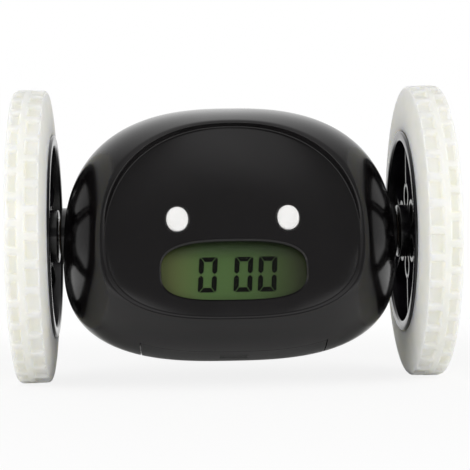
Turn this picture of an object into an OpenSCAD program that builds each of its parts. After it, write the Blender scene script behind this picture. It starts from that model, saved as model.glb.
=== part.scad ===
// Runaway alarm clock: a moulded body slung between two powered wheels.
// The face looks to -Y, +X is to the right, and the tyres stand on z = 0.
// Most shapes are drawn about the wheel axle and then lifted to axle height.

/* [Body] */
// Width of the body across its cheeks
body_w = 101; // [98:0.5:112]
// Height of the body above its widest level
body_up = 45; // [43:0.5:50]
// Depth of the body below its widest level
body_down = 31.8; // [31.4:0.2:37]
// Length of the body from nose to tail
body_depth = 78; // [77:0.5:86]
// How far the widest level lies below the axle
mid_drop = 6.9; // [6:0.1:8]
// Thickness of the moulded shells
wall = 1.8; // [1.5:0.1:2.1]
// Roundness of the upper outline, where 2 is an ellipse
up_power = 2.56; // [2.4:0.02:3]
// Roundness of the lower outline
low_power = 2.78; // [2.6:0.02:3.2]
// Roundness from nose to tail
depth_power = 2.5; // [2.4:0.02:2.9]
// Length of the tongue that locates one shell in the other
lip_l = 1.6; // [1:0.1:2.4]
// Bevel along the outer edge of the seam
seam_bevel = 0.2; // [0.1:0.05:0.4]

/* [Face] */
// Width of the rim around the recessed face
rim_w = 76.2; // [72:0.2:80]
// Height of the rim above its middle
rim_up = 34.6; // [33:0.1:35.5]
// Depth of the rim below its middle
rim_down = 22.5; // [21.5:0.1:24]
// How far the middle of the rim lies below the axle
rim_drop = 1.95; // [1.5:0.05:3]
// Roundness of the rim above its middle
rim_up_power = 2.24; // [2.1:0.02:2.6]
// Roundness of the rim below its middle
rim_low_power = 2.72; // [2.4:0.02:3]
// Step from the rim down to the face at the top
recess_top = 1.9; // [1:0.1:2.4]
// Step from the rim down to the face at the bottom
recess_low = 0.3; // [0.1:0.1:0.6]
// How far the middle of the face swells forward
face_bulge = 2.2; // [1.6:0.1:2.8]

/* [Display] */
// Width of the display window
window_w = 41.7; // [38:0.1:43]
// Height of the display window
window_h = 16.9; // [14:0.1:17.4]
// Roundness of the window above its middle
window_up_power = 3; // [2.6:0.1:4]
// Roundness of the window below its middle
window_low_power = 3.2; // [2.6:0.1:4]
// How far the window's middle lies below the axle
window_drop = 10.75; // [10:0.05:11.5]
// Thinnest wall between the window's seat and the face
window_wall = 0.8; // [0.6:0.1:1.2]
// Margin of the clear plate around the window
plate_edge = 1.2; // [0.8:0.1:1.4]
// Margin of the liquid crystal glass around the window
lcd_edge = 0.6; // [0.4:0.1:0.8]
// Thickness of the clear window plate
window_t = 1; // [0.8:0.1:1.4]
// Thickness of the liquid crystal glass
lcd_t = 2; // [1.6:0.1:2.4]
// Thickness of the light plate behind the glass
backlight_t = 2.4; // [2:0.1:3]
// Height of a digit
digit_h = 10.3; // [9:0.1:11]
// Width of a digit
digit_w = 5.35; // [4.8:0.05:5.6]
// Thickness of a digit's level bars
segment_w = 1.35; // [0.9:0.05:1.5]
// Thickness of a digit's upright bars
post_w = 1.45; // [0.9:0.05:1.6]
// How far the level bars stop short of a digit's corners
corner_cut = 0.62; // [0.4:0.02:0.8]
// Step from one digit to the next
digit_pitch = 6.95; // [6.4:0.05:7.2]
// Extra step between the hours and the minutes
colon_gap = 3.3; // [2.5:0.1:3.6]
// Lean of the digits
digit_lean = 3.8; // [0:0.1:6]
// How far the last digit lies to the right of the middle
last_digit_x = 9.7; // [8.5:0.1:10.5]

/* [Buttons] */
// Width of a face button
eye_w = 6.3; // [5.4:0.1:7]
// Height of a face button
eye_h = 7.25; // [6.4:0.05:8]
// Distance between the face buttons
eye_pitch = 32; // [28:0.5:35]
// How far the face buttons lie above the axle
eye_rise = 4; // [3.4:0.1:6]
// How far a face button stands out of the face
eye_proud = 0.9; // [0.5:0.1:1.4]
// Travel of a face button
eye_travel = 0.8; // [0.4:0.1:1]
// Length of the snooze button
snooze_l = 34; // [28:0.5:38]
// Width of the snooze button
snooze_w = 15; // [12:0.5:18]
// Travel of the snooze button
snooze_travel = 1.2; // [0.8:0.1:1.6]
// Diameter of a rear setting button
set_d = 6; // [5:0.1:7]
// Step from one rear setting button to the next
set_pitch = 11; // [10:0.1:12]
// How far the rear setting buttons lie above the axle
set_rise = 10; // [9:0.1:12]
// How far a rear setting button stands out
set_proud = 0.8; // [0.4:0.1:1.2]
// Travel of a rear setting button
set_travel = 0.7; // [0.4:0.1:0.9]
// How far the hidden collar of a rear button reaches past it
button_collar = 1.2; // [0.8:0.1:1.6]

/* [Sound] */
// Diameter of one sound hole
sound_d = 1.8; // [1.4:0.1:2.2]
// Step between the sound holes
sound_pitch = 4; // [3.4:0.1:4.6]
// Diameter of the sounder
buzzer_d = 24; // [20:0.5:25]
// Thickness of the sounder
buzzer_t = 3; // [2:0.1:3.2]

/* [Wheels] */
// Diameter of a wheel over its tread
wheel_d = 89; // [86:0.5:98]
// Width of a tyre
tyre_w = 12.2; // [11.6:0.1:14]
// Room between the cheek and the tyre
tyre_clear = 2.8; // [2.4:0.1:4]
// Diameter of the tyre's bore
tyre_bore = 61.4; // [58:0.2:66]
// How much the side of the tyre slopes in towards the tread
side_slope = 1.2; // [0.4:0.1:1.6]
// Radius of the tyre's shoulders
shoulder_r = 1.4; // [0.8:0.1:1.6]
// Pockets in one row of the tread
pockets = 36; // [30:1:40]
// Share of the pitch that a pocket takes
pocket_share = 0.7; // [0.5:0.02:0.76]
// Depth of a tread pocket
pocket_depth = 1.5; // [0.8:0.1:2]
// Width of a pocket in the row next to the body
inner_pocket_w = 3.75; // [3:0.05:4]
// Width of a pocket in the outer row
outer_pocket_w = 2.5; // [2:0.1:2.8]
// Width of the rib between the two rows
centre_rib = 2.2; // [1.2:0.1:2.4]
// Depth of the rib that keys the tyre to its rim
key_depth = 0.9; // [0.5:0.1:1.2]

/* [Hubs] */
// Thickness of the hub's rim
rim_t = 3; // [2.6:0.1:3.4]
// How far the rim's lip stands out of the tyre's side
rim_lip = 0.7; // [0.3:0.1:0.9]
// Diameter of the hub's boss
boss_d = 16; // [14:0.2:18]
// Thickness of the hub's web
web_t = 1.6; // [1.2:0.1:2]
// Depth from the tyre's outer side to the web
web_inset = 2.6; // [2.2:0.1:3.4]
// Number of spokes
spokes = 6; // [5:1:7]
// Width of a spoke
spoke_w = 4; // [3:0.1:5]
// Thickness of the ribs on the web
rib_t = 1.2; // [0.9:0.1:1.6]
// Height of the ribs on the web
rib_h = 2.6; // [1.6:0.1:3.4]
// Radius of the small arches at the spokes' roots
arch_r = 4.2; // [3.6:0.1:4.6]

/* [Drive] */
// Diameter of the wheel axle
axle_d = 3; // [2.8:0.1:3.2]
// Diameter of the gear pins
pin_d = 1.5; // [1.4:0.05:1.6]
// Tooth size, the pitch diameter over the number of teeth
tooth_module = 0.5; // [0.5:0.01:0.51]
// Teeth of each small gear
small_teeth = 10; // [10:1:11]
// Teeth of the gear that the motor turns
first_teeth = 34; // [33:1:34]
// Teeth of the gear in the middle of the train
second_teeth = 32; // [31:1:32]
// Teeth of the gear on the axle
output_teeth = 38; // [37:1:38]
// Play between the teeth
backlash = 0.1; // [0.08:0.01:0.14]
// Width of the gear that the motor turns
first_gear_w = 2.6; // [2:0.1:2.8]
// Width of the middle gear
second_gear_w = 2.4; // [2:0.1:2.6]
// Width of the gear on the axle
output_gear_w = 3; // [2.6:0.1:3.2]
// Length of a motor's can
motor_l = 25.1; // [22:0.1:26]
// Width of a motor's can
motor_w = 20.1; // [18:0.1:20.5]
// Height of a motor's can between its flats
motor_h = 15.1; // [14:0.1:15.5]
// Diameter of a motor's shaft
shaft_d = 2; // [1.9:0.05:2.1]
// Thickness of the gearbox plates
plate_t = 1.4; // [1.2:0.1:1.6]

/* [Battery] */
// Diameter of a cell
cell_d = 10.5; // [10.1:0.1:10.6]
// Length of a cell
cell_l = 44.5; // [43:0.1:45]
// Number of cells
cells = 4; // [3:1:4]
// How far the cells are set back from the middle
battery_back = 2; // [1.6:0.1:3]
// Width of the battery door
door_w = 54.3; // [50:0.1:56]
// Length of the battery door
door_l = 48; // [45:0.5:49]
// Room between a cell's end and the box for a contact
contact_room = 2.2; // [2:0.1:2.6]

/* [Fits] */
// Gap around a part that moves in an opening
gap = 0.3; // [0.25:0.05:0.4]
// Radial clearance of a turning shaft
running = 0.04; // [0.02:0.01:0.08]
// Clearance of parts that are pushed together
snug = 0.02; // [0.01:0.01:0.04]

/* [Hidden] */
$fn = 48;
axle_z = wheel_d / 2;
half_w = body_w / 2;
half_depth = body_depth / 2;
far = 60;
tiny = 0.01;
left = -1;
right = 1;
outline_steps = 48;
outline_angles = [for (i = [0 : outline_steps - 1]) 360 * i / outline_steps];

// ---- body form ----
function power(v, e) = sign(v) * pow(abs(v), e);
function over(z) = z >= 0;
// A point of the body's widest outline, drawn in by off
function outline(t, off) =
    let (up = over(sin(t)), e = 2 / (up ? up_power : low_power))
    [(half_w - off) * power(cos(t), e), ((up ? body_up : body_down) - off) * power(sin(t), e) - mid_drop];
// 0 in the middle of the body and 1 on its outline
function body_gauge(x, z, off) =
    let (dz = z + mid_drop, up = over(dz), n = up ? up_power : low_power)
    pow(pow(abs(x) / (half_w - off), n) + pow(abs(dz) / ((up ? body_up : body_down) - off), n), 1 / n);
// How far the skin lies in front of or behind the axle at x, z
function skin_y(x, z, off) =
    (half_depth - off) * pow(max(0, 1 - pow(body_gauge(x, z, off), depth_power)), 1 / depth_power);
// How much the outline has shrunk at y
function shrink(y, off) =
    pow(max(0, 1 - pow(abs(y) / (half_depth - off), depth_power)), 1 / depth_power);
// Height of the upper or lower skin at x, y
function skin_z(x, y, off, up) =
    let (s = shrink(y, off), n = up ? up_power : low_power, h = (up ? body_up : body_down) - off)
    (up ? 1 : -1) * h * s * pow(max(0, 1 - pow(abs(x) / ((half_w - off) * s), n)), 1 / n) - mid_drop;

// ---- face form ----
edge_share = 0.965;
function rim_point(t, g) =
    let (up = over(sin(t)), e = 2 / (up ? rim_up_power : rim_low_power))
    [rim_w / 2 * g * power(cos(t), e), (up ? rim_up : rim_down) * g * power(sin(t), e) - rim_drop];
function rim_gauge(x, z) =
    let (dz = z + rim_drop, up = over(dz), n = up ? rim_up_power : rim_low_power)
    pow(pow(abs(x) / (rim_w / 2), n) + pow(abs(dz) / (up ? rim_up : rim_down), n), 1 / n);
function recess(t) = recess_low + (recess_top - recess_low) * pow((1 + sin(t)) / 2, 1.5);
function rim_y(t) = let (p = rim_point(t, 1)) -skin_y(p[0], p[1], 0);
function edge_y(t) = rim_y(t) + recess(t);
edge_top_z = rim_point(90, edge_share)[1];
edge_low_z = rim_point(-90, edge_share)[1];
face_slope = (edge_y(90) - edge_y(-90)) / (edge_top_z - edge_low_z);
face_tilt = atan(face_slope);
face_reach = edge_top_z * face_slope - edge_y(90);
function face_plane(z) = z * face_slope - face_reach;
// The face at height z, in direction t and at g of the way out to the rim
function face_y(t, g, z) =
    let (q = g / edge_share, rest = edge_y(t) - face_plane(rim_point(t, edge_share)[1]))
    face_plane(z) - face_bulge * (1 - q * q) + rest * pow(q, 4);
// Direction of a point on the face, in the same terms as rim_point
function rim_turn(x, z) =
    let (g = rim_gauge(x, z), dz = z + rim_drop, up = over(dz), n = up ? rim_up_power : rim_low_power)
    atan2(sign(dz) * pow(abs(dz) / ((up ? rim_up : rim_down) * g), n / 2),
        sign(x) * pow(abs(x) / (rim_w / 2 * g), n / 2));
// Depth of the face's outside behind the plane of the face
function face_depth(x, z) = (face_y(rim_turn(x, z), rim_gauge(x, z), z) - face_plane(z)) * cos(face_tilt);
function inner_point(t, p) =
    [p[0], max(-skin_y(p[0], p[1], wall), face_y(t, rim_gauge(p[0], p[1]), p[1]) + wall), p[1]];
function mix(a, b, w) = a + (b - a) * w;

// ---- sizes that follow from the above ----
// wheels, from the cheek outwards
collar_out = 0.45;
collar_r = 8.6;
bush_r = 4;
flange_r = 5.6;
flange_t = 0.6;
bush_in = half_w - 4.9;
bush_out = half_w + collar_out;
hub_in = bush_out + flange_t + gap + 0.05;
tyre_in = half_w + tyre_clear;
tyre_out = tyre_in + tyre_w;
rim_r = tyre_bore / 2;
bed_r = rim_r - snug;
rim_inner_r = rim_r - rim_t;
key_w = 5.8;
key_x = (tyre_in + tyre_out) / 2;
web_out = tyre_out - web_inset;
web_in = web_out - web_t;
hub_cap_t = 1.8;
hub_screw_x = web_in - 3.4;
boss_core_r = 3.4;
boss_skin = 1.4;
// drive, from the bush inwards
cover_out = bush_in - gap;
cover_in = cover_out - plate_t;
output_x = cover_in - gap - output_gear_w;
second_x = output_x - gap - second_gear_w;
first_x = second_x - 5.2 - first_gear_w;
case_out = first_x - 0.5;
case_in = case_out - plate_t;
motor_back = case_in - motor_l;
output_step = tooth_module * (output_teeth + small_teeth) / 2;
second_step = tooth_module * (second_teeth + small_teeth) / 2;
first_step = tooth_module * (first_teeth + small_teeth) / 2;
output_turn = 33;
second_turn = -12;
first_turn = -100;
function polar(r, a) = [r * cos(a), r * sin(a)];
axle_at = [0, 0];
second_at = polar(output_step, output_turn);
first_at = second_at + polar(second_step, second_turn);
motor_at = first_at + polar(first_step, first_turn);
shift_x = 0.35;
low_pillar = [2, -12.4];
front_pillar = [-12.4, 0];
pillar_r = 2;
// battery box and chassis, from the bottom skin upwards
cell_pitch = cell_d + 0.3;
cell_z = -mid_drop - body_down + wall + 7.6 + cell_d / 2;
box_wall = 1.2;
box_half_x = cell_l / 2 + contact_room + box_wall;
box_half_y = cells * cell_pitch / 2 + box_wall;
box_low_z = cell_z - cell_d / 2 + 1.6;
deck_t = 1.5;
deck_z = cell_z + cell_d / 2 + 0.9;
deck_half_x = output_x - 1.2;
function cell_y(i) = battery_back + (i - (cells - 1) / 2) * cell_pitch;
// screw posts
post_r = 3.7;
screw_r = 1.3;
screw_head_r = 2.5;
screw_seat_y = 9;
screw_l = 15;
high_post = [30, 23.5];
low_post = [35, deck_z - deck_t - post_r - gap];
// How far a post runs before its outer edge meets the skin
function post_reach(p) =
    let (l = norm([p[0], p[1] + mid_drop]), k = (l + post_r) / l)
    skin_y(p[0] * k, (p[1] + mid_drop) * k - mid_drop, wall / 2);
posts = [[-high_post[0], high_post[1]], high_post, [-low_post[0], low_post[1]], low_post];
// display stack: distances behind the plane of the face
window_mid_z = -window_drop;
function window_oval(grow, steps) =
    oval(window_w + 2 * grow, window_h + 2 * grow, window_up_power, window_low_power, steps);
window_ring = [for (p = window_oval(plate_edge, 24))
    face_depth(p[0], window_mid_z + p[1] * cos(face_tilt))];
seat_depth = max(window_ring) + window_wall;
lcd_depth = seat_depth + window_t + 0.25;
backlight_depth = lcd_depth + lcd_t + 0.1;
board_depth = backlight_depth + backlight_t + 0.4;
board_t = 1.6;
board_low = -8.6;
board_high = 33;
frame_wall = 1.2;
frame_depth = lcd_depth + 0.7;
stud_r = 2.2;
stud_clear = 1.15;
stud_x = window_w / 2 + lcd_edge + frame_wall + stud_clear + stud_r;
board_w = 2 * (stud_x + 3);
pin_r = 0.9;
ink_t = 0.1;
switch_w = 6;
switch_t = 3.5;
// snooze button
snooze_top = skin_z(0, 0, 0, true);
snooze_depth = 4.2;
snooze_board_z = snooze_top - wall - 9;
snooze_board_half = 13;
snooze_board_y = [-4, 8];
snooze_peg = [10, 4.6];
snooze_peg_r = 1.8;
// rear buttons
set_offsets = [-1.5, -0.5, 0.5, 1.5];
set_collar_t = 0.8;
set_switch_t = 2.2;
function set_inside(x) =
    skin_y(abs(x) + set_d / 2 + button_collar, set_rise + set_d / 2 + button_collar, wall) - 0.3;
rear_board_y = set_inside(1.5 * set_pitch) - set_collar_t - set_travel - 0.3 - set_switch_t - board_t;
buzzer_z = -9;
buzzer_y = skin_y(0, buzzer_z - buzzer_d / 2, wall) - buzzer_t - 0.9;
// battery door
door_front = -door_l / 2;
door_back = door_l / 2;
door_gap = 0.35;
hinge_z = skin_z(0, door_back, 0, false);

// ---- helpers ----
module at_axle() translate([0, 0, axle_z]) children();
module on_side(s) mirror([s == left ? 1 : 0, 0, 0]) children();
// Draws a flat shape in Y and Z and thickens it along X
module slab_x(x0, x1) translate([x0, 0, 0]) rotate([90, 0, 90]) linear_extrude(x1 - x0) children();
module rod_x(x0, x1, r, at = axle_at)
    translate([x0, at[0], at[1]]) rotate([0, 90, 0]) cylinder(h = x1 - x0, r = r);
module rod_y(y0, y1, r, x, z) translate([x, y0, z]) rotate([-90, 0, 0]) cylinder(h = y1 - y0, r = r);
module box(low, high) translate(low) cube(high - low);
module turn_x(points) rotate([0, 90, 0]) rotate_extrude($fn = 96) polygon(points);
// Closed solid through rings of equally many points, with a tip at each end
module loft(tip_a, rings, tip_b) {
    n = len(rings[0]);
    last = len(rings) - 1;
    end = len(rings) * n + 1;
    points = [tip_a, for (r = rings) each r, tip_b];
    faces = [
        for (j = [0 : n - 1]) [0, 1 + (j + 1) % n, 1 + j],
        for (i = [0 : last - 1], j = [0 : n - 1]) each
            let (a = 1 + i * n + j, b = 1 + i * n + (j + 1) % n) [[a, b, b + n], [a, b + n, a + n]],
        for (j = [0 : n - 1]) [end, 1 + last * n + j, 1 + last * n + (j + 1) % n]
    ];
    polyhedron(points, faces, convexity = 8);
}
// Superellipse outline as a flat polygon
function oval(w, h, n_up, n_low, steps) = [for (i = [0 : steps - 1])
    let (t = 360 * i / steps, e = 2 / (sin(t) >= 0 ? n_up : n_low))
    [w / 2 * power(cos(t), e), h / 2 * power(sin(t), e)]];
// Puts a flat shape on the tilted face at height z, thickened from one depth to another
module behind_face(z, d0, d1)
    translate([0, face_plane(z), z]) rotate([-face_tilt, 0, 0])
        translate([0, d1, 0]) rotate([90, 0, 0]) linear_extrude(d1 - d0) children();

// ---- shells ----
module front_body() {
    inner_shares = [0.94, 0.8, 0.55, 0.25];
    outer_shares = [0.24, 0.48, 0.72, 0.9];
    function in_face(g) = [for (t = outline_angles) inner_point(t, rim_point(t, g))];
    function in_side(w) = [for (t = outline_angles)
        inner_point(t, mix(outline(t, wall), rim_point(t, 0.94), w))];
    function flat(y, off) = [for (t = outline_angles) let (p = outline(t, off)) [p[0], y, p[1]]];
    function out_side(w) = [for (t = outline_angles)
        let (p = mix(outline(t, 0), rim_point(t, 1), w)) [p[0], -skin_y(p[0], p[1], 0), p[1]]];
    function out_face(g) = [for (t = outline_angles)
        let (p = rim_point(t, g)) [p[0], face_y(t, g, p[1]), p[1]]];
    ridge = [for (t = outline_angles)
        let (p = rim_point(t, 0.988)) [p[0], rim_y(t) + recess(t) * 0.12, p[1]]];
    rings = [
        for (g = outer_shares) out_face(g),
        out_face(edge_share),
        ridge,
        out_side(1),
        for (k = [7 : -1 : 1]) out_side(pow(k / 7.5, 2.2)),
        out_side(0.004),
        flat(0, seam_bevel),
        flat(0, wall / 2),
        flat(-lip_l - 0.2, wall / 2),
        flat(-lip_l - 0.2, wall),
        for (k = [1 : 4]) in_side(pow(k / 5, 2.2)),
        for (g = inner_shares) in_face(g)
    ];
    inner_tip = inner_point(90, [0, -rim_drop]);
    outer_tip = [0, face_y(90, 0, -rim_drop), -rim_drop];
    loft(outer_tip, rings, inner_tip);
}
module rear_body() {
    function ring(a, off) =
        let (s = pow(cos(a), 2 / depth_power), y = (half_depth - off) * pow(sin(a), 2 / depth_power))
        [for (t = outline_angles) let (p = outline(t, off)) [p[0] * s, y, (p[1] + mid_drop) * s - mid_drop]];
    function flat(y, off) = [for (t = outline_angles) let (p = outline(t, off)) [p[0], y, p[1]]];
    tongue = wall / 2 + 0.1;
    rings = [
        for (a = [82, 70, 56, 42, 29, 17, 7]) ring(a, wall),
        flat(-lip_l, wall),
        flat(-lip_l, tongue),
        flat(0, tongue),
        flat(0, seam_bevel),
        ring(0.9, 0),
        for (a = [7, 15, 25, 36, 48, 60, 72, 83]) ring(a, 0)
    ];
    loft([0, half_depth - wall, -mid_drop], rings, [0, half_depth, -mid_drop]);
}
// The half of a shape in front of the seam (-1) or behind it (+1)
module half(s) intersection() {
    children();
    box([-far, s < 0 ? -far : 0, -far], [far, s < 0 ? 0 : far, far]);
}
module axle_collars() for (s = [left, right]) on_side(s) rod_x(bush_in, bush_out, collar_r);
module axle_holes() for (s = [left, right]) on_side(s) {
    rod_x(bush_in - far / 4, bush_out + far / 4, bush_r + snug);
    rod_x(bush_in - far / 4, bush_in - tiny, collar_r + 1);
}
module door_opening() {
    reach = door_w / 2 + door_gap;
    low = -mid_drop - body_down - 2;
    box([-reach, door_front - door_gap, low], [reach, door_back + door_gap, low + 12.5]);
}
module snooze_opening() translate([0, 0, snooze_top - 10])
    linear_extrude(20) polygon(oval(snooze_l + 2 * gap, snooze_w + 2 * gap, 2.5, 2.5, 40));
module front_shell() color("#1c1a1c") at_axle() difference() {
    union() {
        front_body();
        half(-1) axle_collars();
        for (p = posts) rod_y(-post_reach(p), 0, post_r, p[0], p[1]);
        board_studs();
    }
    axle_holes();
    door_opening();
    snooze_opening();
    for (p = posts) rod_y(screw_seat_y - screw_l - 1, 1, screw_r - 0.15, p[0], p[1]);
    behind_face(window_mid_z, -far / 4, seat_depth + tiny)
        polygon(window_oval(0, 40));
    behind_face(window_mid_z, seat_depth, board_depth) window_plate(0.1);
    behind_face(window_mid_z, lcd_depth - 0.1, board_depth) lcd_outline(0.1);
    behind_face(window_mid_z, frame_depth - 0.1, board_depth) lcd_outline(frame_wall + 0.15);
    behind_face(eye_rise, -far / 4, board_depth - 1) for (s = [left, right]) translate([s * eye_pitch / 2, 0])
        polygon(oval(eye_w + 2 * gap, eye_h + 2 * gap, 2.1, 2.1, 36));
}
module rear_shell() color("#1c1a1c") at_axle() difference() {
    union() {
        rear_body();
        half(1) axle_collars();
        for (p = posts) rod_y(0, post_reach(p), post_r, p[0], p[1]);
        for (s = [left, right]) translate([s * snooze_peg[0], snooze_peg[1], snooze_board_z + board_t])
            cylinder(h = skin_z(snooze_peg[0], snooze_peg[1], wall / 2, true) - snooze_board_z - board_t,
                r = snooze_peg_r);
        difference() {
            rod_y(buzzer_y - 0.4, skin_y(0, buzzer_z, wall / 2), buzzer_d / 2 + 1.4, 0, buzzer_z);
            rod_y(buzzer_y - far, half_depth, buzzer_d / 2 + snug, 0, buzzer_z);
            box([-far, -far, -far], [far, far, buzzer_z - buzzer_d / 4]);
        }
    }
    axle_holes();
    half(-1) for (s = [left, right]) on_side(s) rod_x(bush_in - 2, far, collar_r + 0.2);
    door_opening();
    snooze_opening();
    for (p = posts) {
        rod_y(-far, far, screw_r + 0.15, p[0], p[1]);
        rod_y(screw_seat_y, far, screw_head_r + 0.3, p[0], p[1]);
    }
    for (k = set_offsets) rod_y(far / 3, far, set_d / 2 + gap, k * set_pitch, set_rise);
    for (ring = [0 : 2]) for (k = [0 : max(0, 6 * ring - 1)])
        let (p = polar(ring * sound_pitch, ring == 0 ? 0 : 60 * k / ring))
            rod_y(far / 2, far, sound_d / 2, p[0], p[1] + buzzer_z);
}
module shell_screws() color("silver") at_axle() for (p = posts) difference() {
    union() {
        rod_y(screw_seat_y - screw_l, screw_seat_y, screw_r - 0.2, p[0], p[1]);
        rod_y(screw_seat_y, screw_seat_y + 1.6, screw_head_r, p[0], p[1]);
    }
    for (a = [0, 90]) translate([p[0], screw_seat_y + 1.1, p[1]]) rotate([0, a, 0])
        translate([-1.5, -0.2, -0.3]) cube([3, 1, 0.6]);
}

// ---- battery door ----
module battery_door() {
    across = 10;
    along = 12;
    hook_x = 17;
    hook_w = 6;
    hook_t = 0.8;
    hook_root = 1.5;
    rib_x = 13;
    rib_half = 0.75;
    rib_drop = 2.7;
    hook_z = skin_z(hook_x + hook_w / 2, door_back + 2.6, wall, false) + 0.25;
    function spot(i, j, off) =
        let (x = door_w * (i / across - 0.5), y = door_front + door_l * j / along)
        [x, y, skin_z(x, y, off, false)];
    n = along + 1;
    skin = (across + 1) * n;
    points = [for (off = [0, wall]) for (i = [0 : across]) for (j = [0 : along]) spot(i, j, off)];
    quads = [
        for (i = [0 : across - 1], j = [0 : along - 1]) let (a = i * n + j) [a, a + 1, a + n + 1, a + n],
        for (i = [0 : across - 1], j = [0 : along - 1])
            let (a = skin + i * n + j) [a, a + n, a + n + 1, a + 1],
        for (i = [0 : across - 1]) let (a = i * n) [a, a + n, a + n + skin, a + skin],
        for (i = [0 : across - 1]) let (a = i * n + along) [a, a + skin, a + n + skin, a + n],
        for (j = [0 : along - 1]) [j, j + skin, j + 1 + skin, j + 1],
        for (j = [0 : along - 1]) let (a = across * n + j) [a, a + 1, a + 1 + skin, a + skin]
    ];
    triangles = [for (q = quads) each [[q[0], q[2], q[1]], [q[0], q[3], q[2]]]];
    color("#1c1a1c") at_axle() union() {
        polyhedron(points, triangles, convexity = 6);
        for (s = [left, right]) {
            box([s * hook_x - hook_w / 2, door_back - hook_root, hook_z - 2.2],
                [s * hook_x + hook_w / 2, door_back - 0.4, hook_z + hook_t]);
            box([s * hook_x - hook_w / 2, door_back - 0.5, hook_z],
                [s * hook_x + hook_w / 2, door_back + 2.2, hook_z + hook_t]);
        }
        for (s = [left, right]) difference() {
            box([s * rib_x - rib_half, cell_y(0), hinge_z - 0.6],
                [s * rib_x + rib_half, cell_y(cells - 1), cell_z - rib_drop]);
            for (i = [0 : cells - 1]) rod_x(-far, far, cell_d / 2 + gap, [cell_y(i), cell_z]);
        }
        for (k = [0 : 3]) let (y = door_front + 2.4 + 1.3 * k)
            box([-4, y, skin_z(0, y, 0, false) - 0.3], [4, y + 0.5, skin_z(0, y, 0, false) + 0.8]);
    }
}

// ---- display ----
module window_plate(room)
    polygon(window_oval(plate_edge + room, 40));
module lcd_outline(room)
    square([window_w + 2 * (lcd_edge + room), window_h + 2 * (lcd_edge + room)], center = true);
module display_window() color([0.55, 0.62, 0.5, 0.4]) at_axle()
    behind_face(window_mid_z, seat_depth, seat_depth + window_t) window_plate(0);
module lcd_glass() color("#4e5837") at_axle()
    behind_face(window_mid_z, lcd_depth, lcd_depth + lcd_t) lcd_outline(0);
module backlight() color("#8fbf4a") at_axle()
    behind_face(window_mid_z, backlight_depth, backlight_depth + backlight_t) lcd_outline(0);
module lcd_frame() color("#202020") at_axle()
    behind_face(window_mid_z, frame_depth, board_depth) difference() {
        lcd_outline(frame_wall);
        lcd_outline(snug);
    }
// A nought of four upright and two level bars, mitred at the corners and split by thin gaps
module zero_digit() {
    half_w = digit_w / 2;
    half_h = digit_h / 2;
    slant = 1;
    split = 0.3;
    tip = half_w - corner_cut;
    mitre = half_h - (post_w - corner_cut + split) * segment_w / slant;
    for (up = [-1, 1]) scale([1, up]) {
        polygon([[tip, half_h], [-tip, half_h], [slant - tip, half_h - segment_w],
            [tip - slant, half_h - segment_w]]);
        for (over = [-1, 1]) scale([over, 1])
            polygon([[half_w, half_h - 0.5], [half_w - 0.4, half_h - 0.12], [half_w - post_w, mitre],
                [half_w - post_w, (split + post_w) / 2], [half_w - post_w / 2, split / 2],
                [half_w, (split + post_w) / 2]]);
    }
}
module lcd_digits() color("#121311") at_axle()
    behind_face(window_mid_z, lcd_depth - ink_t, lcd_depth) {
        lean = tan(digit_lean);
        digit_drop = 0.7;
        for (x = [last_digit_x, last_digit_x - digit_pitch, last_digit_x - 2 * digit_pitch - colon_gap])
            translate([x, -digit_drop])
                multmatrix([[1, lean, 0, 0], [0, 1, 0, 0], [0, 0, 1, 0], [0, 0, 0, 1]])
                zero_digit();
    }
board_spots = [for (x = [-stud_x, stud_x], y = [board_low + 3, board_high - 8]) [x, y]];
// Studs from the face to the board, with pins that run through the board
module board_studs() for (p = board_spots) {
    start = face_depth(p[0], window_mid_z + p[1] * cos(face_tilt)) + wall / 2;
    behind_face(window_mid_z, start, board_depth) translate(p) circle(r = stud_r);
    behind_face(window_mid_z, board_depth - 0.1, board_depth + board_t + 0.6) translate(p) circle(r = pin_r);
}
module main_board() color("#1f5a34") at_axle() behind_face(window_mid_z, board_depth, board_depth + board_t)
    difference() {
        translate([-board_w / 2, board_low]) square([board_w, board_high - board_low]);
        for (p = board_spots) translate(p) circle(r = pin_r + 0.1);
    }
module board_parts() color("#2a2a2a") at_axle() {
    back = board_depth + board_t;
    chip_at = [0, 6];
    crystal_at = [-18, 12];
    crystal = [8, 3.2];
    cans = [13, 20];
    cans_rise = 14;
    chips_rise = 20;
    behind_face(window_mid_z, back, back + 1.4) translate(chip_at) circle(r = 6);
    behind_face(window_mid_z, back, back + 3) translate(crystal_at) square(crystal, center = true);
    for (x = cans) behind_face(window_mid_z, back, back + 6) translate([x, cans_rise]) circle(r = 2.5);
    for (x = [-14 : 4 : 6]) behind_face(window_mid_z, back, back + 0.7)
        translate([x, chips_rise]) square([2, 1.2], center = true);
}
// Depths of a face button's parts behind the plane of the face
eye_front = face_depth(eye_pitch / 2, eye_rise);
eye_collar = eye_front + wall + 0.5;
eye_collar_t = 0.7;
eye_switch_t = 1.8;
eye_foot = board_depth - eye_switch_t - 0.1 - eye_travel;
module face_switches() color("#3a3a3c") at_axle() for (s = [left, right])
    behind_face(eye_rise, board_depth - eye_switch_t, board_depth)
        translate([s * eye_pitch / 2, 0]) square([switch_w, switch_w], center = true);
module face_button(s) {
    base = oval(eye_w, eye_h, 2.1, 2.1, 36);
    function ring(k, depth) = [for (p = base) [p[0] * k, depth, p[1] * k]];
    color("#f4f3f0") at_axle() translate([s * eye_pitch / 2, face_plane(eye_rise), eye_rise])
        rotate([-face_tilt, 0, 0]) loft([0, eye_front - eye_proud, 0], [
            ring(0.5, eye_front - eye_proud * 0.97), ring(0.8, eye_front - eye_proud * 0.86),
            ring(0.97, eye_front - eye_proud * 0.5), ring(1, eye_front), ring(1, eye_collar),
            ring(1.25, eye_collar), ring(1.25, eye_collar + eye_collar_t),
            ring(0.45, eye_collar + eye_collar_t), ring(0.45, eye_foot)
        ], [0, eye_foot, 0]);
}

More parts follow.
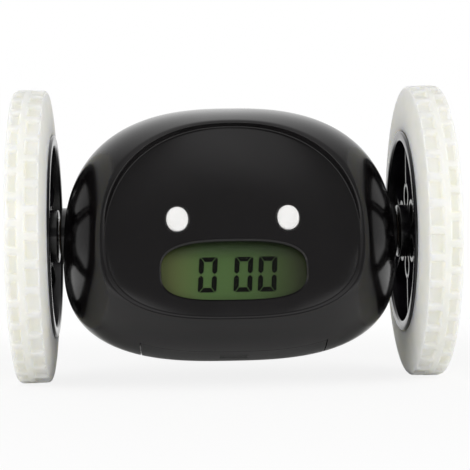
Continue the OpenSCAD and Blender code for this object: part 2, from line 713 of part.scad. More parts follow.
// ---- snooze button on top ----
module snooze_button() {
    base = oval(snooze_l, snooze_w, 2.5, 2.5, 40);
    low_z = snooze_top - snooze_depth;
    foot_z = snooze_board_z + board_t + switch_t + snooze_travel + 0.1;
    function top(k, off) = [for (p = base) [p[0] * k, p[1] * k, skin_z(p[0] * k, p[1] * k, off, true)]];
    function level(k, z) = [for (p = base) [p[0] * k, p[1] * k, z]];
    color("#1c1a1c") at_axle() union() {
        loft([0, 0, snooze_top], [top(0.35, 0), top(0.65, 0), top(0.88, 0), top(0.98, 0), top(1, 0.35),
            level(1, low_z - 1), level(0.9, low_z - 1), level(0.9, low_z + 1.2)], [0, 0, low_z + 1.2]);
        translate([0, 0, foot_z]) cylinder(h = low_z + 2 - foot_z, r = 2.4);
    }
}
module snooze_switch() color("#1f5a34") at_axle() {
    difference() {
        box([-snooze_board_half, snooze_board_y[0], snooze_board_z],
            [snooze_board_half, snooze_board_y[1], snooze_board_z + board_t]);
        for (s = [left, right]) translate([s * snooze_peg[0], snooze_peg[1], snooze_board_z - 1])
            cylinder(h = board_t + 2, r = 1);
    }
    box([-switch_w / 2, -switch_w / 2, snooze_board_z + board_t],
        [switch_w / 2, switch_w / 2, snooze_board_z + board_t + switch_t]);
}

// ---- rear buttons, board and sounder ----
module set_button(k) color("#2a2829") at_axle() {
    x = k * set_pitch;
    out = skin_y(x, set_rise, 0);
    inside = set_inside(x);
    foot = rear_board_y + board_t + set_switch_t + set_travel + 0.1;
    r = set_d / 2;
    translate([x, 0, set_rise]) rotate([-90, 0, 0]) rotate_extrude() polygon([[0, foot], [1.2, foot],
        [1.2, inside - set_collar_t], [r + button_collar, inside - set_collar_t], [r + button_collar, inside],
        [r, inside], [r, out + set_proud - 0.4], [r - 0.4, out + set_proud], [0, out + set_proud]]);
}
module rear_board() color("#1f5a34") at_axle()
    box([-2 * set_pitch, rear_board_y, set_rise - 5.5],
        [2 * set_pitch, rear_board_y + board_t, set_rise + 6]);
module rear_switches() color("#3a3a3c") at_axle() for (k = set_offsets)
    box([k * set_pitch - 2.6, rear_board_y + board_t, set_rise - 2.6],
        [k * set_pitch + 2.6, rear_board_y + board_t + set_switch_t, set_rise + 2.6]);
module buzzer() color("#b8963c") at_axle() {
    rod_y(buzzer_y, buzzer_y + buzzer_t, buzzer_d / 2, 0, buzzer_z);
}

// ---- chassis, cells and contacts ----
module chassis() color("#3b3b3d") at_axle() difference() {
    union() {
        box([-box_half_x, battery_back - box_half_y, box_low_z],
            [box_half_x, battery_back + box_half_y, deck_z]);
        box([-deck_half_x, -13, deck_z - deck_t], [deck_half_x, 15, deck_z]);
    }
    for (i = [0 : cells - 1])
        rod_x(-cell_l / 2 - contact_room, cell_l / 2 + contact_room, cell_d / 2 + 0.1, [cell_y(i), cell_z]);
    box([-cell_l / 2 - contact_room, battery_back - box_half_y + box_wall, box_low_z - 1],
        [cell_l / 2 + contact_room, battery_back + box_half_y - box_wall, cell_z]);
}
module batteries() color("#c8c8c4") at_axle() for (i = [0 : cells - 1])
    on_side(i % 2 == 0 ? right : left) {
        rod_x(-cell_l / 2, cell_l / 2 - 0.8, cell_d / 2 - 0.1, [cell_y(i), cell_z]);
        rod_x(cell_l / 2 - 1, cell_l / 2, 1.9, [cell_y(i), cell_z]);
    }
module battery_contacts() color("silver") at_axle() for (s = [left, right]) on_side(s) {
    outer = cell_l / 2 + contact_room;
    for (i = [0 : cells - 1]) {
        box([outer - 0.4, cell_y(i) - 4.4, box_low_z + 0.8], [outer - snug, cell_y(i) + 4.4, cell_z + 3]);
        rod_x(cell_l / 2 + 0.05, outer - 0.3, 1.6, [cell_y(i), cell_z]);
    }
}

// ---- gears ----
function involute(base, r) = let (a = sqrt(max(0, r * r / base / base - 1))) a * 180 / PI - atan(a);
// Outline of a spur gear whose first tooth points along X
function gear_points(teeth, x) =
    let (r = tooth_module * teeth / 2, base = r * cos(20), tip = r + tooth_module * (1 + x),
        root = r - tooth_module * (1.25 - x), start = max(base, root + 0.05),
        half_tooth = (tooth_module * (PI / 2 + 2 * x * tan(20)) - backlash / 2) / (2 * r) * 180 / PI,
        flank = [for (k = [0 : 3]) start + (tip - start) * k / 3])
    [for (i = [0 : teeth - 1]) each let (mid = 360 * i / teeth)
        [polar(root, mid - half_tooth * 1.02 - involute(base, r)),
            for (q = flank) polar(q, mid - half_tooth - involute(base, r) + involute(base, q)),
            for (k = [3 : -1 : 0]) let (q = flank[k])
                polar(q, mid + half_tooth + involute(base, r) - involute(base, q)),
            polar(root, mid + half_tooth * 1.02 + involute(base, r))]];
module gear(x0, w, teeth, x, at, turn)
    slab_x(x0, x0 + w) translate(at) rotate(turn) polygon(gear_points(teeth, x));
half_small = 180 / small_teeth;
module output_gear(s) color("#e6e2d6") at_axle() on_side(s) difference() {
    union() {
        gear(output_x, output_gear_w, output_teeth, -shift_x, axle_at, output_turn);
        rod_x(second_x, output_x + 0.1, 3.2);
    }
    rod_x(case_in, cover_out, axle_d / 2 + snug);
}
module second_gear(s) color("#e6e2d6") at_axle() on_side(s) difference() {
    union() {
        gear(second_x, second_gear_w, second_teeth, -shift_x, second_at, second_turn);
        gear(second_x + second_gear_w - 0.1, output_x - second_x - second_gear_w + output_gear_w, small_teeth,
            shift_x, second_at, output_turn + 180 + half_small);
    }
    rod_x(case_in, cover_out, pin_d / 2 + running, second_at);
}
module first_gear(s) color("#e6e2d6") at_axle() on_side(s) difference() {
    union() {
        gear(first_x, first_gear_w, first_teeth, -shift_x, first_at, first_turn);
        gear(first_x + first_gear_w - 0.1, second_x + second_gear_w - first_x - first_gear_w, small_teeth,
            shift_x, first_at, second_turn + 180 + half_small);
    }
    rod_x(case_in, cover_out, pin_d / 2 + running, first_at);
}
module motor_pinion(s) color("#d8b84a") at_axle() on_side(s) difference() {
    gear(first_x - 0.1, first_gear_w + 0.6, small_teeth, shift_x, motor_at, first_turn + 180 + half_small);
    rod_x(case_in, cover_out, shaft_d / 2 + snug, motor_at);
}
module gear_pins(s) color("silver") at_axle() on_side(s) {
    head_x = second_x + second_gear_w + gap;
    rod_x(case_in, cover_in + plate_t / 2, pin_d / 2, second_at);
    rod_x(case_in, head_x + 0.1, pin_d / 2, first_at);
    rod_x(head_x, head_x + 0.6, pin_d / 2 + 0.6, first_at);
}

// ---- motors and gearboxes ----
module motor_outline(r, room) intersection() {
    circle(r = r + room);
    square([2 * (r + room), motor_h + 2 * room], center = true);
}
module motor(s) color("silver") at_axle() on_side(s) difference() {
    union() {
        slab_x(motor_back + 4, case_in) translate(motor_at) motor_outline(motor_w / 2, 0);
        rod_x(case_in - 0.1, case_in + 1, 3, motor_at);
    }
    rod_x(-far, far, shaft_d / 2 + running, motor_at);
}
module motor_end(s) color("#e8e4da") at_axle() on_side(s) difference() {
    union() {
        slab_x(motor_back + 0.6, motor_back + 4) translate(motor_at) motor_outline(motor_w / 2, -0.4);
        rod_x(motor_back, motor_back + 1, 3, motor_at);
        for (k = [-1, 1]) translate([motor_back - 0.9, motor_at[0] + k * 6 - 1.2, motor_at[1] - 0.2])
            cube([1.8, 2.4, 0.4]);
    }
    rod_x(-far, far, shaft_d / 2 + running, motor_at);
}
module motor_shaft(s) color("silver") at_axle() on_side(s)
    rod_x(motor_back - 0.6, first_x + first_gear_w + 0.5, shaft_d / 2, motor_at);
module gearbox_case(s) color("#4a4a4d") at_axle() on_side(s) difference() {
    foot_y = 13;
    union() {
        slab_x(case_in, case_out) hull() {
            circle(r = 5);
            translate(second_at) circle(r = 4);
            translate(first_at) circle(r = 4);
            translate(motor_at) square([motor_w, motor_h - 1], center = true);
            translate(low_pillar) circle(r = pillar_r + 0.6);
            translate(front_pillar) circle(r = pillar_r + 0.6);
        }
        box([case_in, -foot_y + 1.5, deck_z], [case_out, foot_y, low_pillar[1]]);
        box([case_in, -foot_y + 1.5, deck_z], [case_out + 5, foot_y, deck_z + plate_t]);
        for (p = [low_pillar, front_pillar]) rod_x(case_out - 0.1, cover_in, pillar_r, p);
    }
    rod_x(0, far, axle_d / 2 + running);
    rod_x(0, far, pin_d / 2, second_at);
    rod_x(0, far, pin_d / 2, first_at);
    rod_x(0, far, 3 + snug, motor_at);
}
module gearbox_cover(s) color("#4a4a4d") at_axle() on_side(s) difference() {
    slab_x(cover_in, cover_out) hull() {
        circle(r = 5);
        translate(second_at) circle(r = 2.4);
        translate(low_pillar) circle(r = pillar_r);
        translate(front_pillar) circle(r = pillar_r);
    }
    rod_x(0, far, axle_d / 2 + running);
    rod_x(0, cover_in + plate_t / 2 + snug, pin_d / 2, second_at);
}

// ---- axles and wheels ----
module axle(s) color("silver") at_axle() on_side(s) difference() {
    rod_x(case_in + 0.2, hub_screw_x, axle_d / 2);
    rod_x(hub_screw_x - 7, hub_screw_x + 1, 0.8);
}
module axle_bush(s) color("#b08d57") at_axle() on_side(s) difference() {
    union() {
        rod_x(bush_in, bush_out, bush_r);
        rod_x(bush_out, bush_out + flange_t, flange_r);
    }
    rod_x(0, far, axle_d / 2 + running);
}
module hub(s) color("#141315") at_axle() on_side(s) {
    rim_in = tyre_in - rim_lip;
    rim_out = tyre_out - 0.6;
    round_r = 0.7;
    boss_r = boss_d / 2;
    root_r = boss_r - boss_skin;
    window_in = boss_r + 3.5;
    window_out = rim_inner_r - 2.6;
    difference() {
        union() {
            turn_x([[rim_inner_r + round_r, rim_in], [bed_r - round_r, rim_in], [bed_r, rim_in + round_r],
                [bed_r, key_x - key_w / 2 - 0.05], [bed_r - key_depth, key_x - key_w / 2 - 0.05],
                [bed_r - key_depth, key_x + key_w / 2 + 0.05], [bed_r, key_x + key_w / 2 + 0.05],
                [bed_r, rim_out - round_r], [bed_r - round_r, rim_out], [rim_inner_r + round_r, rim_out],
                [rim_inner_r, rim_out - round_r], [rim_inner_r, rim_in + round_r]]);
            difference() {
                rod_x(web_in, web_out, rim_inner_r + 0.2);
                rod_x(web_in - 1, web_out + 1, root_r + 0.4);
                for (i = [0 : spokes - 1]) spoke_window(360 * (i + 0.5) / spokes + 90, window_in, window_out);
            }
            turn_x([[axle_d / 2 + snug, hub_in], [boss_r - 0.3, hub_in], [boss_r, hub_in + 0.3],
                [boss_r, web_out], [root_r, web_out], [root_r, hub_in + 2.4], [boss_core_r, hub_in + 2.4],
                [boss_core_r, hub_screw_x], [axle_d / 2 + snug, hub_screw_x]]);
            for (i = [0 : spokes - 1]) rotate([360 * i / spokes, 0, 0]) {
                box([web_in - rib_h, -rib_t / 2, boss_r + 2.6 + arch_r - rib_t / 2],
                    [web_in + 0.1, rib_t / 2, rim_inner_r + 0.2]);
                difference() {
                    rod_x(web_in - rib_h, web_in + 0.1, arch_r, [0, boss_r + 2.6]);
                    rod_x(web_in - rib_h - 1, web_in, arch_r - rib_t, [0, boss_r + 2.6]);
                    rod_x(web_in - rib_h - 1, web_in + 1, boss_r - 0.5);
                }
            }
        }
        rod_x(0, far, axle_d / 2 + snug);
    }
}
// One opening between two spokes, centred on the angle a
module spoke_window(a, r_in, r_out) {
    span = 360 / spokes;
    slab_x(web_in - 1, web_out + 1) rotate(a) difference() {
        circle(r = r_out);
        circle(r = r_in);
        for (k = [-1, 1]) rotate(k * span / 2) translate([0, k > 0 ? -spoke_w / 2 : -far * 2 + spoke_w / 2])
            square([far, far * 2]);
        translate([-far, -far]) square([far, 2 * far]);
    }
}
module hub_screw(s) color("silver") at_axle() on_side(s) difference() {
    union() {
        rod_x(hub_screw_x - 6.5, hub_screw_x + 0.1, 0.78);
        rod_x(hub_screw_x, hub_screw_x + 1.5, 2.6);
    }
    for (a = [0, 90]) rotate([a, 0, 0]) box([hub_screw_x + 0.9, -1.5, -0.3], [hub_screw_x + 2, 1.5, 0.3]);
}
module hub_cap(s) color("#141315") at_axle() on_side(s) {
    r = boss_d / 2;
    turn_x([[0, web_out], [r - boss_skin - 0.05, web_out], [r - boss_skin - 0.05, web_out - 1.6],
        [r - boss_skin - 1.1, web_out - 1.6], [r - boss_skin - 1.1, web_out - tiny], [0, web_out - tiny]]);
    turn_x([[0, web_out], [r, web_out], [r, web_out + hub_cap_t - 1], [r - 0.4, web_out + hub_cap_t - 0.4],
        [r - 1.4, web_out + hub_cap_t - 0.05], [r * 0.5, web_out + hub_cap_t], [0, web_out + hub_cap_t]]);
}
module tyre(s) color("#f0efe8") at_axle() on_side(s) {
    r = wheel_d / 2;
    neck = 0.5;
    row_offset = 0.25;
    step = 360 / pockets;
    side_in = tyre_in + side_slope;
    side_out = tyre_out - side_slope;
    pocket_len = 2 * r * sin(step * pocket_share / 2);
    middle = (side_in + side_out) / 2 + row_offset;
    difference() {
        turn_x([
            [rim_r + neck, tyre_in],
            [r - shoulder_r, side_in],
            for (a = [20 : 20 : 70])
                [r - shoulder_r + shoulder_r * sin(a), side_in + shoulder_r * (1 - cos(a))],
            [r, side_in + shoulder_r],
            [r, side_out - shoulder_r],
            for (a = [70 : -20 : 20])
                [r - shoulder_r + shoulder_r * sin(a), side_out - shoulder_r * (1 - cos(a))],
            [r - shoulder_r, side_out],
            [rim_r + neck, tyre_out],
            [rim_r, tyre_out - neck],
            [rim_r, key_x + key_w / 2],
            [rim_r - key_depth + 0.05, key_x + key_w / 2],
            [rim_r - key_depth + 0.05, key_x - key_w / 2],
            [rim_r, key_x - key_w / 2],
            [rim_r, tyre_in + neck]
        ]);
        for (i = [0 : pockets - 1]) {
            rotate([step * i, 0, 0])
                box([middle + centre_rib / 2, -pocket_len / 2, r - pocket_depth],
                    [middle + centre_rib / 2 + outer_pocket_w, pocket_len / 2, r + 1]);
            rotate([step * (i + 0.5), 0, 0])
                box([middle - centre_rib / 2 - inner_pocket_w, -pocket_len / 2, r - pocket_depth],
                    [middle - centre_rib / 2, pocket_len / 2, r + 1]);
        }
    }
}

front_shell();
rear_shell();
battery_door();
display_window();
lcd_glass();
lcd_digits();
lcd_frame();
backlight();
main_board();
board_parts();
face_switches();
face_button(left);  // hour_button
face_button(right);  // minute_button
snooze_button();
snooze_switch();
rear_board();
rear_switches();
set_button(set_offsets[3]);  // time_button
set_button(set_offsets[2]);  // alarm_button
set_button(set_offsets[1]);  // interval_button
set_button(set_offsets[0]);  // wheels_button
buzzer();
chassis();
batteries();
battery_contacts();
shell_screws();
tyre(left);  // left_tyre
hub(left);  // left_hub
hub_cap(left);  // left_hub_cap
hub_screw(left);  // left_hub_screw
axle(left);  // left_axle
axle_bush(left);  // left_axle_bush
output_gear(left);  // left_output_gear
second_gear(left);  // left_second_gear
first_gear(left);  // left_first_gear
motor_pinion(left);  // left_motor_pinion
motor_shaft(left);  // left_motor_shaft
motor(left);  // left_motor
motor_end(left);  // left_motor_end
gear_pins(left);  // left_gear_pins
gearbox_case(left);  // left_gearbox_case
gearbox_cover(left);  // left_gearbox_cover
tyre(right);  // right_tyre
hub(right);  // right_hub
hub_cap(right);  // right_hub_cap
hub_screw(right);  // right_hub_screw
axle(right);  // right_axle
axle_bush(right);  // right_axle_bush
output_gear(right);  // right_output_gear
second_gear(right);  // right_second_gear
first_gear(right);  // right_first_gear
motor_pinion(right);  // right_motor_pinion
motor_shaft(right);  // right_motor_shaft
motor(right);  // right_motor
motor_end(right);  // right_motor_end
gear_pins(right);  // right_gear_pins
gearbox_case(right);  // right_gearbox_case
gearbox_cover(right);  // right_gearbox_cover
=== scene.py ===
from math import asin, atan, atan2, cos, hypot, pi, radians, sin

import bmesh
import bpy
import numpy as np
from mathutils import Matrix, Vector
from mathutils.bvhtree import BVHTree


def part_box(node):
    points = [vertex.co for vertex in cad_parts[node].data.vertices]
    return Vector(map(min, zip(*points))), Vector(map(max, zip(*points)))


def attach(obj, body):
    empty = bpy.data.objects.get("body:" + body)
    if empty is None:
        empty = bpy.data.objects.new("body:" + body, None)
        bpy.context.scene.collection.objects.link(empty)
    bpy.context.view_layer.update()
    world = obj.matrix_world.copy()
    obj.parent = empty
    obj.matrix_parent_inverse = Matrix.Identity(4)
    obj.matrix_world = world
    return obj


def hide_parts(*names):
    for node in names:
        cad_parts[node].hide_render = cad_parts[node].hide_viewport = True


# Runaway alarm clock: a gloss black body slung between two white wheels.
# Lengths are in millimetres and become metres only when a mesh is made.
# Most shapes are drawn about the wheel axle, as in the frame, and lifted by axleHeight.

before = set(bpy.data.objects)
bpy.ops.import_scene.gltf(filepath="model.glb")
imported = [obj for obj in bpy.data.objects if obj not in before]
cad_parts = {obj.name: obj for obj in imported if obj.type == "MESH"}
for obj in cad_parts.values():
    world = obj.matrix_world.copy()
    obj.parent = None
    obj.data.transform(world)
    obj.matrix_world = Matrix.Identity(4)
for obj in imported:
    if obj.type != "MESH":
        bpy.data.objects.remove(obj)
scene = bpy.context.scene
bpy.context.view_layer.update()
mm = 0.001
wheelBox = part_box("right_tyre")
axleHeight = (wheelBox[0].z + wheelBox[1].z) / 2 / mm
sides = {"left": -1, "right": 1}
quarter = pi / 2
print("stage: frame loaded, axle at", round(axleHeight, 2), "mm")


def linear(code):
    channels = [int(code[i:i + 2], 16) / 255 for i in (1, 3, 5)]
    return tuple(c / 12.92 if c <= 0.04045 else ((c + 0.055) / 1.055) ** 2.4 for c in channels) + (1,)


def addNode(tree, kind, inputs=None, **settings):
    node = tree.nodes.new(kind)
    for key, value in settings.items():
        setattr(node, key, value)
    for socket, value in (inputs or {}).items():
        if isinstance(value, bpy.types.NodeSocket):
            tree.links.new(value, node.inputs[socket])
        else:
            node.inputs[socket].default_value = value
    return node


def reckon(tree, operation, *values):
    return addNode(tree, "ShaderNodeMath", dict(enumerate(values)), operation=operation).outputs[0]


# Carries a value from one range over to another, with soft ends or evenly
def carry(tree, value, start, end, low, high, curve="SMOOTHSTEP"):
    node = addNode(tree, "ShaderNodeMapRange", {"Value": value, "From Min": start, "From Max": end,
                                                "To Min": low, "To Max": high}, interpolation_type=curve)
    return node.outputs["Result"]


def power(v, e):
    return np.sign(v) * np.abs(v) ** e


def circle(steps):
    return np.linspace(0, 2 * pi, steps, endpoint=False)


# Points from three coordinates, of which any may be one number
def stack(x, y, z):
    return np.stack(np.broadcast_arrays(np.asarray(x, float), y, z + axleHeight), 1)


# A place on the curve that leaves a towards the corner and arrives at b
def bend(a, corner, b, s):
    return (1 - s) ** 2 * a + 2 * s * (1 - s) * corner + s * s * b


# Two distances along the axle on one side of the clock, lower number first
def span(side, near, far):
    return sorted((side * near, side * far))


# Turns all faces outwards; an open skin is judged from its middle
def outward(points, faces):
    points = np.asarray(points, float)
    points = points - points.mean(0)
    total = 0.0
    for size in {len(f) for f in faces}:
        corners = points[np.array([f for f in faces if len(f) == size])]
        for k in range(1, size - 1):
            total += np.sum(corners[:, 0] * np.cross(corners[:, k], corners[:, k + 1]))
    return [f[::-1] for f in faces] if total < 0 else faces


def shade(mesh, smooth):
    mesh.polygons.foreach_set("use_smooth", [True] * len(mesh.polygons))
    mesh.set_sharp_from_angle(angle=radians(smooth))


def newObject(name, data):
    thing = bpy.data.objects.new(name, data)
    scene.collection.objects.link(thing)
    return thing


# A bare shape, for cutting with or for joining to a piece
def tool(name, points, faces):
    mesh = bpy.data.meshes.new(name)
    mesh.from_pydata([tuple(p) for p in np.asarray(points) * mm], [], outward(points, faces))
    return newObject(name, mesh)


def meshPiece(name, points, faces, material, body=None, smooth=35):
    piece = tool(name, points, faces)
    piece.data.validate()
    piece.data.materials.append(material)
    shade(piece.data, smooth)
    if body:
        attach(piece, body)
    return piece


# Joins rings of equally many points, with a tip point at either end or none
def loftFaces(rings, tipA=None, tipB=None):
    n = len(rings[0])
    points = np.concatenate(rings)
    faces = []
    j = np.arange(n)
    k = (j + 1) % n
    for i in range(len(rings) - 1):
        faces += np.stack([i * n + j, i * n + k, (i + 1) * n + k, (i + 1) * n + j], 1).tolist()
    last = len(points) - n
    for tip, ends in ((tipA, (k, j)), (tipB, (last + j, last + k))):
        if tip is not None:
            faces += np.stack([np.full(n, len(points)), *ends], 1).tolist()
            points = np.vstack([points, np.asarray(tip, float)])
    return points, faces


# Joins rings so that the last one meets the first
def closedLoft(rings):
    points, faces = loftFaces(rings + [rings[0]])
    count = len(rings) * len(rings[0])
    return points[:count], [[v % count for v in f] for f in faces]


def loftTool(name, rings):
    return tool(name, *loftFaces(rings, rings[0].mean(0), rings[-1].mean(0)))


# Rounds the corners of a closed profile whose points are (x, r, radius)
def rounded(profile):
    out = []
    for i, (x, r, radius) in enumerate(profile):
        here = np.array([x, r], float)
        if not radius:
            out.append(here)
            continue
        ends = []
        for other in (profile[i - 1], profile[(i + 1) % len(profile)]):
            way = np.array(other[:2], float) - here
            length = np.linalg.norm(way)
            ends.append(here + way / length * min(radius, length / 2))
        out += [bend(ends[0], here, ends[1], s) for s in np.linspace(0, 1, 5)]
    return out


# Turns a rounded profile round the axle, on one side of the clock
def turned(side, profile, steps):
    a = circle(steps)
    return closedLoft([stack(side * x, r * np.cos(a), r * np.sin(a)) for x, r in rounded(profile)])


boxFaces = [[3, 2, 1, 0], [4, 5, 6, 7], [0, 1, 5, 4], [1, 2, 6, 5], [2, 3, 7, 6], [3, 0, 4, 7]]


def boxTool(low, high):
    (a, b, c), (d, e, f) = low, high
    points = [(x, y, z + axleHeight) for z in (c, f) for x, y in ((a, b), (d, b), (d, e), (a, e))]
    return tool("box", points, boxFaces)


def rodTool(axis, low, high, r, at=(0, 0), steps=48):
    a = circle(steps)
    c, s = r * np.cos(a), r * np.sin(a)
    along = {"x": lambda v: stack(v, at[0] + c, at[1] + s),
             "y": lambda v: stack(at[0] - c, v, at[1] + s),
             "z": lambda v: stack(at[0] + c, at[1] + s, v)}[axis]
    return loftTool("rod", [along(v) for v in (low, high)])


def carve(piece, operation, tools):
    for t in tools:
        step = piece.modifiers.new("carve", "BOOLEAN")
        step.operation = operation
        step.solver = "MANIFOLD"
        step.object = t
    graph = bpy.context.evaluated_depsgraph_get()
    cut = bpy.data.meshes.new_from_object(piece.evaluated_get(graph))
    piece.modifiers.clear()
    piece.data = cut
    for t in tools:
        bpy.data.objects.remove(t)


# Puts closed shells into one mesh where they only have to meet
def joinShells(piece, tools):
    merged = bmesh.new()
    merged.from_mesh(piece.data)
    for t in tools:
        merged.from_mesh(t.data)
        bpy.data.objects.remove(t)
    merged.to_mesh(piece.data)
    merged.free()


def startMaterial(name, **sockets):
    material = bpy.data.materials.new(name)
    material.use_nodes = True
    tree = material.node_tree
    shader = tree.nodes["Principled BSDF"]
    for socket, value in sockets.items():
        shader.inputs[socket.replace("_", " ")].default_value = value
    return material, tree, shader


def coordinates(tree, kind="Object"):
    return addNode(tree, "ShaderNodeTexCoord").outputs[kind]


# Noise at a real size in millimetres
def grain(tree, size, detail):
    sockets = {"Vector": coordinates(tree), "Scale": 1000 / size, "Detail": detail}
    return addNode(tree, "ShaderNodeTexNoise", sockets).outputs["Fac"]


def relief(tree, shader, size, depth, detail):
    bump = addNode(tree, "ShaderNodeBump", {"Height": grain(tree, size, detail), "Strength": 1.0,
                                            "Distance": depth * mm})
    tree.links.new(bump.outputs["Normal"], shader.inputs["Normal"])


# A moulded or worked surface: its colour drifts over "flow" mm, its roughness over "cloud" mm,
# and "wave" holds the size, depth and detail of the relief
def finish(name, look, **sockets):
    material, tree, shader = startMaterial(name, **sockets)
    ramp = addNode(tree, "ShaderNodeValToRGB", {"Fac": grain(tree, look["flow"], 4.0)})
    for stop, share, code in zip(ramp.color_ramp.elements, (0.35, 0.65), look["colours"]):
        stop.position = share
        stop.color = linear(code)
    tree.links.new(ramp.outputs["Color"], shader.inputs["Base Color"])
    gloss = carry(tree, grain(tree, look["cloud"], 3.0), 0.3, 0.7, *look["gloss"], "LINEAR")
    tree.links.new(gloss, shader.inputs["Roughness"])
    relief(tree, shader, *look["wave"])
    return material


# Moulded gloss black ABS from a polished tool: near black, with clear but slightly soft reflections
glossBlack = finish("mouldedGlossBlackAbs", {
    "colours": ("#0d0b0c", "#121011"), "flow": 38, "gloss": (0.14, 0.19), "cloud": 11,
    "wave": (6, 0.004, 2.0)}, IOR=1.5)
# The wheels' harder black ABS: the same gloss with a faint blue cast
wheelBlack = finish("mouldedWheelAbs", {
    "colours": ("#0b0a0d", "#110f13"), "flow": 20, "gloss": (0.12, 0.2), "cloud": 5,
    "wave": (4, 0.004, 2.0)}, IOR=1.5)
# Moulded white thermoplastic rubber: soft, chalky white that warms where light soaks in
rubberWhite = finish("mouldedWhiteRubber", {
    "colours": ("#efefe8", "#f5f4ee"), "flow": 9, "gloss": (0.5, 0.62), "cloud": 3,
    "wave": (0.45, 0.01, 3.0)}, IOR=1.48, Subsurface_Weight=1.0, Subsurface_Radius=(1.0, 0.96, 0.8),
    Subsurface_Scale=0.007)
# Moulded gloss white ABS of the two face buttons: bright, even and slightly waxy
buttonWhite = finish("mouldedWhiteAbs", {
    "colours": ("#f1f0ee", "#f6f5f4"), "flow": 6, "gloss": (0.2, 0.28), "cloud": 2,
    "wave": (2, 0.003, 2.0)}, IOR=1.5, Subsurface_Weight=0.1, Subsurface_Radius=(1.0, 0.95, 0.9),
    Subsurface_Scale=0.001)
# Spark-eroded black ABS of the small rear buttons: a fine satin grain
buttonBlack = finish("sparkErodedBlackAbs", {
    "colours": ("#171516", "#1f1d1e"), "flow": 4, "gloss": (0.35, 0.5), "cloud": 1.2,
    "wave": (0.3, 0.012, 4.0)}, IOR=1.5)
# Clear moulded acrylic: nearly invisible, with a faint grey edge and a sharp reflection
acrylic = finish("mouldedClearAcrylic", {
    "colours": ("#3f4733", "#4a523c"), "flow": 12, "gloss": (0.02, 0.05), "cloud": 6,
    "wave": (8, 0.002, 2.0)}, IOR=1.49, Alpha=0.05)


# Laminated liquid crystal glass over a green plate: paler at its left end, greener in the middle and darker
# at its right end, with a painted shadow that darkens it along its top
def crystalGlass(rise, halfWidth, halfHeight):
    # shade is the colour of a painted shadow along the top of the glass, standing in for the shade of the
    # face above the window
    look = {"shade": "#1d2318", "paintedShadowFrom": 0.35, "paintedShadowMost": 0.85,
            "stops": ((0.06, "#555d34"), (0.3, "#4a6436"), (0.62, "#425a30"), (0.95, "#30371f"))}
    material, tree, shader = startMaterial("laminatedLcdGlass", IOR=1.52, Roughness=0.25)
    parts = addNode(tree, "ShaderNodeSeparateXYZ", {"Vector": coordinates(tree)}).outputs
    shares = []
    for axis, centre, half in (("X", 0, halfWidth), ("Z", rise + axleHeight, halfHeight)):
        away = reckon(tree, "SUBTRACT", parts[axis], centre * mm)
        shares.append(reckon(tree, "DIVIDE", away, half * mm))
    ramp = addNode(tree, "ShaderNodeValToRGB", {"Fac": reckon(tree, "MULTIPLY_ADD", shares[0], 0.5, 0.5)})
    stops = ramp.color_ramp.elements
    while len(stops) < len(look["stops"]):
        stops.new(0.5)
    for stop, (share, code) in zip(stops, look["stops"]):
        stop.position = share
        stop.color = linear(code)
    # painted shadow: a mask that mixes the shade colour in more strongly towards the top edge of the glass
    top = carry(tree, shares[1], look["paintedShadowFrom"], 1.0, 0.0, look["paintedShadowMost"], "LINEAR")
    sockets = {"Factor": top, 6: ramp.outputs["Color"], 7: linear(look["shade"])}
    mixed = addNode(tree, "ShaderNodeMix", sockets, data_type="RGBA")
    tree.links.new(mixed.outputs[2], shader.inputs["Base Color"])
    relief(tree, shader, 0.4, 0.004, 2.0)
    return material


print("stage: finishes made")


# The housing is a superellipse with its own power above and below; the recess in its face has
# such an outline too, and at its upper corners it is a little deeper and flatter than the frame's
bodyForm = {"halfWidth": 50.5, "up": 45.0, "down": 31.8, "upPower": 2.56, "lowPower": 2.78, "drop": 6.9,
            "halfDepth": 39.0, "depthPower": 2.5, "wall": 1.8, "bevel": 0.2, "tongue": 1.6}
rimForm = {"halfWidth": 38.1, "up": 34.6, "down": 22.5, "drop": 1.95, "upPower": 2.24, "lowPower": 2.72,
           "stepTop": 1.9, "stepLow": 0.3, "edge": 0.965, "hollow": 0.953, "foot": 0.8, "bulge": 2.2,
           "deepen": 0.75}
wall, bodyDrop, halfDepth = (bodyForm[k] for k in ("wall", "drop", "halfDepth"))


# Power and height of a form, above or below its middle
def halves(form, up):
    return np.where(up, form["upPower"], form["lowPower"]), np.where(up, form["up"], form["down"])


# The point of a form at an angle, at a share of the way out from its middle
def formPoint(form, t, share=1.0, off=0.0):
    n, h = halves(form, np.sin(t) >= 0)
    return ((form["halfWidth"] - off) * share * power(np.cos(t), 2 / n),
            (h - off) * share * power(np.sin(t), 2 / n) - form["drop"])


# The share of the way out at which a point lies
def formShare(form, x, z, off=0.0):
    dz = z + form["drop"]
    n, h = halves(form, dz >= 0)
    return ((np.abs(x) / (form["halfWidth"] - off)) ** n + (np.abs(dz) / (h - off)) ** n) ** (1 / n)


def skinY(x, z, off=0.0):
    p = bodyForm["depthPower"]
    return (halfDepth - off) * np.maximum(0, 1 - formShare(bodyForm, x, z, off) ** p) ** (1 / p)


def skinZ(x, y, off=0.0, up=True):
    p = bodyForm["depthPower"]
    s = np.maximum(0, 1 - (np.abs(y) / (halfDepth - off)) ** p) ** (1 / p)
    n, h = halves(bodyForm, up)
    reach = np.maximum(0, 1 - (np.abs(x) / ((bodyForm["halfWidth"] - off) * s)) ** n) ** (1 / n)
    return (1 if up else -1) * (h - off) * s * reach - bodyDrop


def rimTurn(x, z):
    dz = z + rimForm["drop"]
    n, h = halves(rimForm, dz >= 0)
    g = formShare(rimForm, x, z)
    return np.arctan2(power(dz / (h * g), n / 2), power(x / (rimForm["halfWidth"] * g), n / 2))


def rimY(t):
    return -skinY(*formPoint(rimForm, t))


def evenStep(t):
    return rimForm["stepLow"] + (rimForm["stepTop"] - rimForm["stepLow"]) * ((1 + np.sin(t)) / 2) ** 1.5


